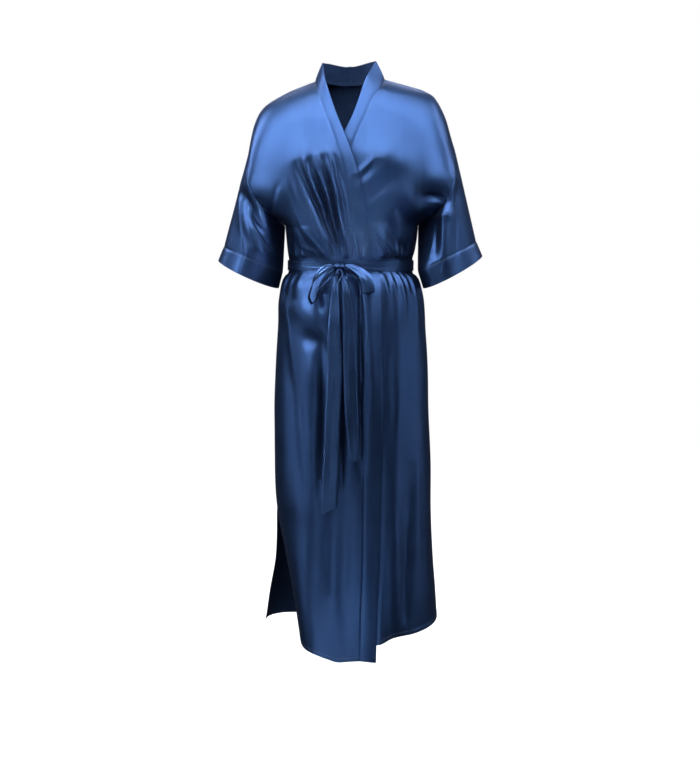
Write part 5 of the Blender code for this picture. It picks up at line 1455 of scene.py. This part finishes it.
def tail_points(table, slant, seed, turned):
    """A tail of the belt hanging on the skirt, clear of the folds beneath it."""
    rows = along_route([(row.x, 0.0, row.z, row.width, row.clear) for row in table], TAIL_ROWS_FINE)
    across = np.linspace(-0.5, 0.5, TAIL_ACROSS + 1)
    made = []
    for index, (x, _, z, width, clear) in enumerate(rows):
        share = index / (TAIL_ROWS_FINE - 1)
        xs = x + width * across
        zs = z - slant * across * share ** SLANT_POWER
        depth = float(smooth(SECTIONS, "z", "front", z))
        wide = float(smooth(SECTIONS, "z", "front_out", z))
        probe = np.stack([xs, xs * 0 - depth, zs], axis=-1)
        rise = relief(-1, probe, np.arcsin(xs / wide) / (math.pi / 2), level_of(z))
        front = -depth * (1 - (xs / wide) ** 2) ** (ROUNDNESS / 2)
        stand = BAND_LIFT + clear + RIBBON_WALL + max(0, rise.max())
        turn = math.tan(math.radians(turned)) * float(ramp(share, *TURN_BETWEEN))
        swung = -width * across * turn - abs(width * turn) / 2
        made.append(np.stack([xs, front.min() - stand + swung, zs], axis=-1))
    made = np.array(made)
    for _ in range(TAIL_SOFTENING):
        depth = made[:, :, 1]
        eased = depth.copy()
        eased[1:-1] = (depth[:-2] + depth[1:-1] + depth[2:]) / 3
        made[:, :, 1] = np.minimum(depth, eased)
    way = np.linspace(0, 1, TAIL_ROWS_FINE)[:, None]
    wave = np.sin(2 * math.pi * (way * WAVES_DOWN + across * WAVES_ACROSS + WAVE_APART * seed))
    fold = np.exp(-((across - FOLD_SWAY * np.sin(FOLD_SWAYS * way + seed)) / TAIL_FOLD_WIDTH) ** 2)
    fold = fold * ramp(1 - way, *FOLD_FADES)
    uneven = soft_noise(way * TAIL_NOISE_CELLS[0] + TAIL_NOISE_FROM[0],
                        across * TAIL_NOISE_CELLS[1] + TAIL_NOISE_FROM[1], TAIL_NOISE_SEED + seed)
    lift = TAIL_WAVE * (WAVE_SHARE * wave * ramp(way, *WAVE_GROWS) + (1 - WAVE_SHARE) * fold)
    lift = lift + TAIL_NOISE * uneven
    return made, lift - TAIL_EDGE * np.abs(2 * across) ** TAIL_EDGE_POWER


# Each tail's route, how its cut end slants, and how far it is turned about its length in degrees
TAILS = {
    "tail_long": (LONG_TAIL, LONG_TAIL_SLANT, 12),
    "tail_short": (SHORT_TAIL, SHORT_TAIL_SLANT, -9),
}
for seed, (node, (route, slant, turned)) in enumerate(TAILS.items()):
    points, lift = tail_points(route, slant, seed, turned)
    cloths.append(Cloth(node, points, lift, DOUBLE, flip=True))
print("tails:", len(TAILS))

# %% Make every sheet
made = {}
for cloth in cloths:
    belted = cloth.node.startswith(("belt", "bow", "knot", "tail"))
    piece = cloth.build(belt_satin if belted else face_satin, belt_satin if belted else back_satin)
    made[cloth.node] = piece
print("triangles:", 2 * sum(len(piece.data.polygons) for piece in made.values()))

# %% Knot
KNOT_SIZE = (0.0125, 0.0080, 0.0085)
KNOT_CENTRE = (-0.0225, -0.1223, -0.4045)
KNOT_CREASES = 3
KNOT_CREASE = 0.14
KNOT_ROUND = 64
KNOT_DOWN = 36
# Strands of the wrap, and the deeper line where its end is tucked in
STRANDS = 9
STRAND_SLANT = 2.2
STRAND_DEPTH = 0.07
TUCKED_DEPTH = 0.10
TUCKED_AT = 0.35
TUCKED_SLANT = 0.25
TUCKED_WIDTH = 0.10


def knot():
    """The knot: a wrap of the belt drawn tight, with the creases of the cloth inside it."""
    around = np.linspace(0, 2 * math.pi, KNOT_ROUND, endpoint=False)
    down = np.linspace(0, math.pi, KNOT_DOWN)[:, None]
    x = np.cos(down) + around * 0
    y = np.sin(down) * np.cos(around)
    z = np.sin(down) * np.sin(around)
    pinch = 1 - KNOT_CREASE * np.cos(KNOT_CREASES * np.arctan2(z, y)) * (1 - x * x)
    wrap = STRAND_DEPTH * np.cos(STRANDS * x + STRAND_SLANT * z) * (1 - x * x)
    wrap = wrap - TUCKED_DEPTH * np.exp(-((x + TUCKED_SLANT * z - TUCKED_AT) / TUCKED_WIDTH) ** 2)
    size = pinch + wrap
    spots = np.stack([x * KNOT_SIZE[0], y * KNOT_SIZE[1] * size, z * KNOT_SIZE[2] * size], axis=-1)
    spots = spots.reshape(-1, 3) + np.array(KNOT_CENTRE)
    mesh = bmesh.new()
    verts = [mesh.verts.new(spot) for spot in spots]
    for row in range(KNOT_DOWN - 1):
        for column in range(KNOT_ROUND):
            beside = (column + 1) % KNOT_ROUND
            above = row * KNOT_ROUND
            below = above + KNOT_ROUND
            mesh.faces.new([verts[above + column], verts[above + beside],
                            verts[below + beside], verts[below + column]])
    bmesh.ops.remove_doubles(mesh, verts=mesh.verts, dist=1e-6)
    bmesh.ops.recalc_face_normals(mesh, faces=mesh.faces)
    data = bpy.data.meshes.new("belt_knot_cloth")
    mesh.to_mesh(data)
    mesh.free()
    data.materials.append(belt_satin)
    data.shade_smooth()
    lump = placed("belt_knot_cloth", data)
    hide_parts("belt_knot")
    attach(lump, "root")
    return lump


made["belt_knot"] = knot()
print("knot:", len(made["belt_knot"].data.vertices), "points")

# %% [markdown]
# ## Stitching
# The robe is topstitched: a line round each cuff, and along every hem and the slit. A stitch is
# far too small to cut into a sheet, so each is a small spindle of thread that lies half sunk in
# the cloth. The lines are found on the sheets themselves, at a given distance from an edge, so
# they follow every fold.

# %% Thread
STITCH_LENGTH = 0.0030
STITCH_PITCH = 0.0042
STITCH_RADIUS = 0.00050
HEM_LINE = 0.0085
BAND_LINE = 0.0034
STITCH_SIDES = 4
THREAD_DYE = (0.600, 0.740, 0.980)
THREAD_SHADE = (0.420, 0.560, 0.860)
THREAD_ROUGHNESS = 0.5
THREAD_SPECKLE = 700
THREAD_DETAIL = 2


def thread_material():
    """Polyester thread, a little paler and duller than the satin."""
    material, _, _ = dyed("robe_thread", THREAD_SPECKLE, THREAD_DETAIL, THREAD_SHADE, THREAD_DYE)
    material.node_tree.nodes["Principled BSDF"].inputs["Roughness"].default_value = THREAD_ROUGHNESS
    return material


print("stitches", STITCH_LENGTH * 1000, "mm long, one each", STITCH_PITCH * 1000, "mm")

# %% Lay stitches on a sheet
def line_on(cloth, edge, distance, start=0.0, end=1.0):
    """A line on a sheet's face at a distance from one edge, with the outward directions there."""
    grids = [cloth.face(), cloth.normals, distance_from(cloth.points, edge)[..., None]]
    if edge in ("left", "right"):
        grids = [grid.swapaxes(0, 1) for grid in grids]
    if edge in ("bottom", "right"):
        grids = [grid[::-1] for grid in grids]
    face, normals, away = grids
    last = face.shape[1] - 1
    spots = np.array([[[np.interp(distance, away[:, column, 0], grid[:, column, k]) for k in range(3)]
                       for grid in (face, normals)]
                      for column in range(int(start * last), int(end * last) + 1)])
    if cloth.ring:
        spots = np.concatenate([spots, spots[:1]])
    return spots[:, 0], spots[:, 1]


def sew(cloth, lines, thread):
    """Lays stitches along lines on a sheet, as one piece that rides with it."""
    spots = []
    faces = []
    for line, outward in lines:
        reach = np.concatenate([[0], np.cumsum(np.linalg.norm(np.diff(line, axis=0), axis=1))])
        for begin in np.arange(STITCH_PITCH / 2, reach[-1] - STITCH_LENGTH, STITCH_PITCH):
            ends = [np.array([np.interp(at, reach, line[:, k]) for k in range(3)])
                    for at in (begin, begin + STITCH_LENGTH)]
            up = np.array([np.interp(begin, reach, outward[:, k]) for k in range(3)])
            up /= np.linalg.norm(up)
            along = (ends[1] - ends[0]) / np.linalg.norm(ends[1] - ends[0])
            beside = np.cross(along, up)
            middle = (ends[0] + ends[1]) / 2
            first = len(spots)
            spots.append(ends[0])
            for turn in range(STITCH_SIDES):
                angle = math.pi * (0.25 + turn / 2)
                spots.append(middle + STITCH_RADIUS * (math.cos(angle) * beside + math.sin(angle) * up))
            spots.append(ends[1])
            for turn in range(STITCH_SIDES):
                a = first + 1 + turn
                b = first + 1 + (turn + 1) % STITCH_SIDES
                faces += [(first, b, a), (first + STITCH_SIDES + 1, a, b)]
    data = bpy.data.meshes.new(cloth.node + "_stitches")
    data.from_pydata([tuple(spot) for spot in spots], [], faces)
    data.materials.append(thread)
    piece = placed(cloth.node + "_stitches", data)
    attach(piece, "root")
    return piece


print("a stitch is", 2 * STITCH_RADIUS * 1000, "mm thick")

# %% Sew every piece
thread = thread_material()
by_node = {cloth.node: cloth for cloth in cloths}
slit_from = float(np.interp(-SLIT_Z, -right[:, 0, 2], np.linspace(0, 1, len(LEVELS))))
SEAMS = {
    "cuff_right": [("top", BAND_LINE, 0, 1)],
    "cuff_left": [("top", BAND_LINE, 0, 1)],
    "front_right": [("bottom", HEM_LINE, 0, 1), ("left", HEM_LINE, slit_from, 1)],
    "front_left": [("bottom", HEM_LINE, 0, 1)],
    "back": [("bottom", HEM_LINE, 0, 1), ("left", HEM_LINE, slit_from, 1)],
}
sewn = {}
for node, seams in SEAMS.items():
    sewn[node] = sew(by_node[node], [line_on(by_node[node], *seam) for seam in seams], thread)
print("stitches:", sum(len(piece.data.polygons) for piece in sewn.values()) // 8)

# %% [markdown]
# ## What each piece was cut from
# On a tube the width runs all round.

# %% Flat sizes
Cut = namedtuple("Cut", "node width length area held rests_on")
CUTS = [
    Cut("back", 0.500, 1.250, 0.610, "gathered", []),
    Cut("front_right", 0.290, 1.260, 0.320, "gathered", ["back", "front_left"]),
    Cut("front_left", 0.310, 1.230, 0.345, "gathered", ["back"]),
    Cut("neckband_right", 0.038, 1.370, None, "folded", ["front_right"]),
    Cut("neckband_left", 0.038, 1.400, None, "folded", ["front_left"]),
    Cut("sleeve_right", 0.430, 0.170, 0.062, "hung", ["front_right", "back"]),
    Cut("sleeve_left", 0.430, 0.170, 0.060, "hung", ["front_left", "back"]),
    Cut("cuff_right", 0.420, 0.042, None, "folded", ["sleeve_right"]),
    Cut("cuff_left", 0.420, 0.042, None, "folded", ["sleeve_left"]),
    Cut("belt_waist", 0.030, 0.700, None, "folded", ["front_right", "front_left", "back"]),
    Cut("bow_right", 0.028, 0.190, None, "folded", ["belt_knot"]),
    Cut("bow_left", 0.028, 0.160, None, "folded", ["belt_knot"]),
    Cut("knot_loop", 0.011, 0.055, None, "folded", ["belt_knot"]),
    Cut("tail_long", 0.033, 0.510, None, "hung", ["belt_knot", "front_right"]),
    Cut("tail_short", 0.028, 0.400, None, "hung", ["belt_knot", "front_right"]),
]


def one_face_area(piece):
    """Area of one face of a sheet, in square metres."""
    return sum(face.area for face in piece.data.polygons) / 2


for cut in CUTS:
    on_it = [sewn[cut.node]] if cut.node in sewn else []
    on_it += [made["belt_knot"]] if cut.node == "belt_waist" else []
    share = one_face_area(made[cut.node]) / (cut.area or cut.width * cut.length)
    print(cut.node, "covers", round(share, 2), "of its cut")

# %% [markdown]
# ## Light, floor and camera
# Satin mirrors its lights softly, so it needs broad lights with dark between them. Large ones high
# in front and at both sides make the shoulders, chest and skirt glow. Small ones aimed at the
# waist pick out the pulls to the knot, weak ones at the sides and below open up the skirt, one
# behind each side draws the edges, and one lights the back. The floor and what lies behind the
# robe are as white as a page, but light almost nothing, or they would fill the dark between the
# folds. The camera stands at chest height, well back, as in the photograph.

# %% Floor
FLOOR_Z = -1.452
FLOOR_HALF = 4.0
FLOOR_WHITE = (0.86, 0.86, 0.86, 1)
FLOOR_ROUGHNESS = 0.9
WHITE = (1.0, 1.0, 1.0, 1)


def floor():
    """A white floor that melts into the white behind it, as on a page."""
    mesh = bmesh.new()
    corners = [mesh.verts.new((x * FLOOR_HALF, y * FLOOR_HALF, FLOOR_Z))
               for x, y in ((-1, -1), (1, -1), (1, 1), (-1, 1))]
    mesh.faces.new(corners)
    data = bpy.data.meshes.new("floor")
    mesh.to_mesh(data)
    mesh.free()
    paint = bpy.data.materials.new("floor_paint")
    paint.use_nodes = True
    shader = paint.node_tree.nodes["Principled BSDF"]
    shader.inputs["Base Color"].default_value = FLOOR_WHITE
    shader.inputs["Roughness"].default_value = FLOOR_ROUGHNESS
    # It glows, so that it is white all over
    shader.inputs["Emission Color"].default_value = WHITE
    shader.inputs["Emission Strength"].default_value = 1.0
    data.materials.append(paint)
    made_floor = placed("floor", data)
    # The cloth isn't lit by the white floor, which would fill its shadows
    made_floor.visible_glossy = False
    made_floor.visible_diffuse = False


floor()
print("floor at", FLOOR_Z)

# %% Lights
# "spread" is the angle of the grid in front of a softbox, in degrees; 180 is none
Lamp = namedtuple("Lamp", "name x y z aim_x aim_y aim_z wide tall power spread")
LAMPS = [
    Lamp("top", 0.0, -0.35, 1.50, 0.0, -0.05, -0.20, 2.6, 0.9, 14, 180),
    Lamp("front_high", 0.0, -1.60, 1.30, 0.0, 0.0, -0.20, 1.7, 1.5, 12.5, 180),
    Lamp("left_high", -1.65, -1.10, 1.20, 0.0, 0.0, -0.20, 1.4, 1.5, 11, 180),
    Lamp("right_high", 1.65, -1.10, 1.20, 0.0, 0.0, -0.20, 1.4, 1.5, 8.5, 180),
    Lamp("left_near", -1.20, -0.95, -0.02, -0.1, 0.0, -0.28, 0.50, 0.50, 1.2, 180),
    Lamp("right_near", 1.20, -1.00, 0.10, 0.1, 0.0, -0.25, 0.50, 0.60, 0.8, 180),
    Lamp("fan_right", 1.15, -1.10, -0.46, -0.10, -0.12, -0.27, 0.14, 0.14, 0.035, 6),
    Lamp("under_front", 0.0, -1.60, -1.10, -0.02, -0.10, -0.23, 0.60, 0.35, 0.10, 18),
    Lamp("left_rim", -1.80, 0.60, 0.90, -0.1, 0.0, -0.15, 1.0, 1.4, 9, 180),
    Lamp("right_rim", 1.80, 0.60, 0.90, 0.1, 0.0, -0.15, 1.0, 1.4, 6, 180),
    Lamp("back_high", 0.0, 2.20, 1.10, 0.0, 0.0, -0.35, 2.0, 1.5, 12, 180),
    Lamp("left_wall", -2.5, -0.9, -0.75, 0.0, 0.0, -0.75, 2.2, 1.8, 3.8, 180),
    Lamp("right_wall", 2.5, -0.1, -0.75, 0.0, 0.0, -0.75, 2.2, 1.8, 2.6, 180),
    Lamp("front_fill", -0.7, -3.4, -1.2, 0.0, 0.0, -0.8, 2.2, 1.2, 2.0, 180),
    Lamp("low", -0.15, -1.05, -1.38, 0.0, 0.0, -1.12, 1.1, 0.2, 0.5, 180),
]
for lamp in LAMPS:
    light = bpy.data.lights.new(lamp.name, "AREA")
    light.shape = "RECTANGLE"
    light.size = lamp.wide
    light.size_y = lamp.tall
    light.energy = lamp.power
    light.spread = math.radians(lamp.spread)
    # The cloth shows each light once and doesn't pass it on, so the hollows between folds stay dark
    light.cycles.max_bounces = 0
    light.cycles.use_multiple_importance_sampling = False
    shining = placed(lamp.name, light)
    shining.location = (lamp.x, lamp.y, lamp.z)
    aim = Vector((lamp.aim_x, lamp.aim_y, lamp.aim_z)) - shining.location
    shining.rotation_euler = aim.to_track_quat("-Z", "Y").to_euler()
print("lights:", len(LAMPS))

# %% White behind the robe
# It is white wherever the camera sees it, but almost no light comes from it
WORLD_GLOW = 0.015
world = bpy.data.worlds.new("studio")
world.use_nodes = True
world_nodes = world.node_tree.nodes
world_links = world.node_tree.links
background = world_nodes["Background"]
background.inputs["Color"].default_value = WHITE
seen = world_nodes.new("ShaderNodeLightPath")
page = world_nodes.new("ShaderNodeMapRange")
page.inputs["To Min"].default_value = WORLD_GLOW
page.inputs["To Max"].default_value = 1.0
world_links.new(seen.outputs["Is Camera Ray"], page.inputs["Value"])
world_links.new(page.outputs["Result"], background.inputs["Strength"])
bpy.context.scene.world = world
bpy.context.scene.view_settings.view_transform = "Standard"
print("the world gives", WORLD_GLOW, "of the light that the camera sees in it")

# %% Camera
CAMERA_AWAY = 3.0
CAMERA_RISE = 6.5
CAMERA_AIM = (0.0, 0.0, -0.678)
LENS = 63
SENSOR = 36
rise = math.radians(CAMERA_RISE)
camera = placed("camera", bpy.data.cameras.new("camera"))
camera.data.lens = LENS
camera.data.sensor_width = SENSOR
camera.location = Vector(CAMERA_AIM) + CAMERA_AWAY * Vector((0, -math.cos(rise), math.sin(rise)))
camera.rotation_euler = (math.pi / 2 - rise, 0, 0)
bpy.context.scene.camera = camera
print("camera", CAMERA_AWAY, "m away,", CAMERA_RISE, "degrees up")
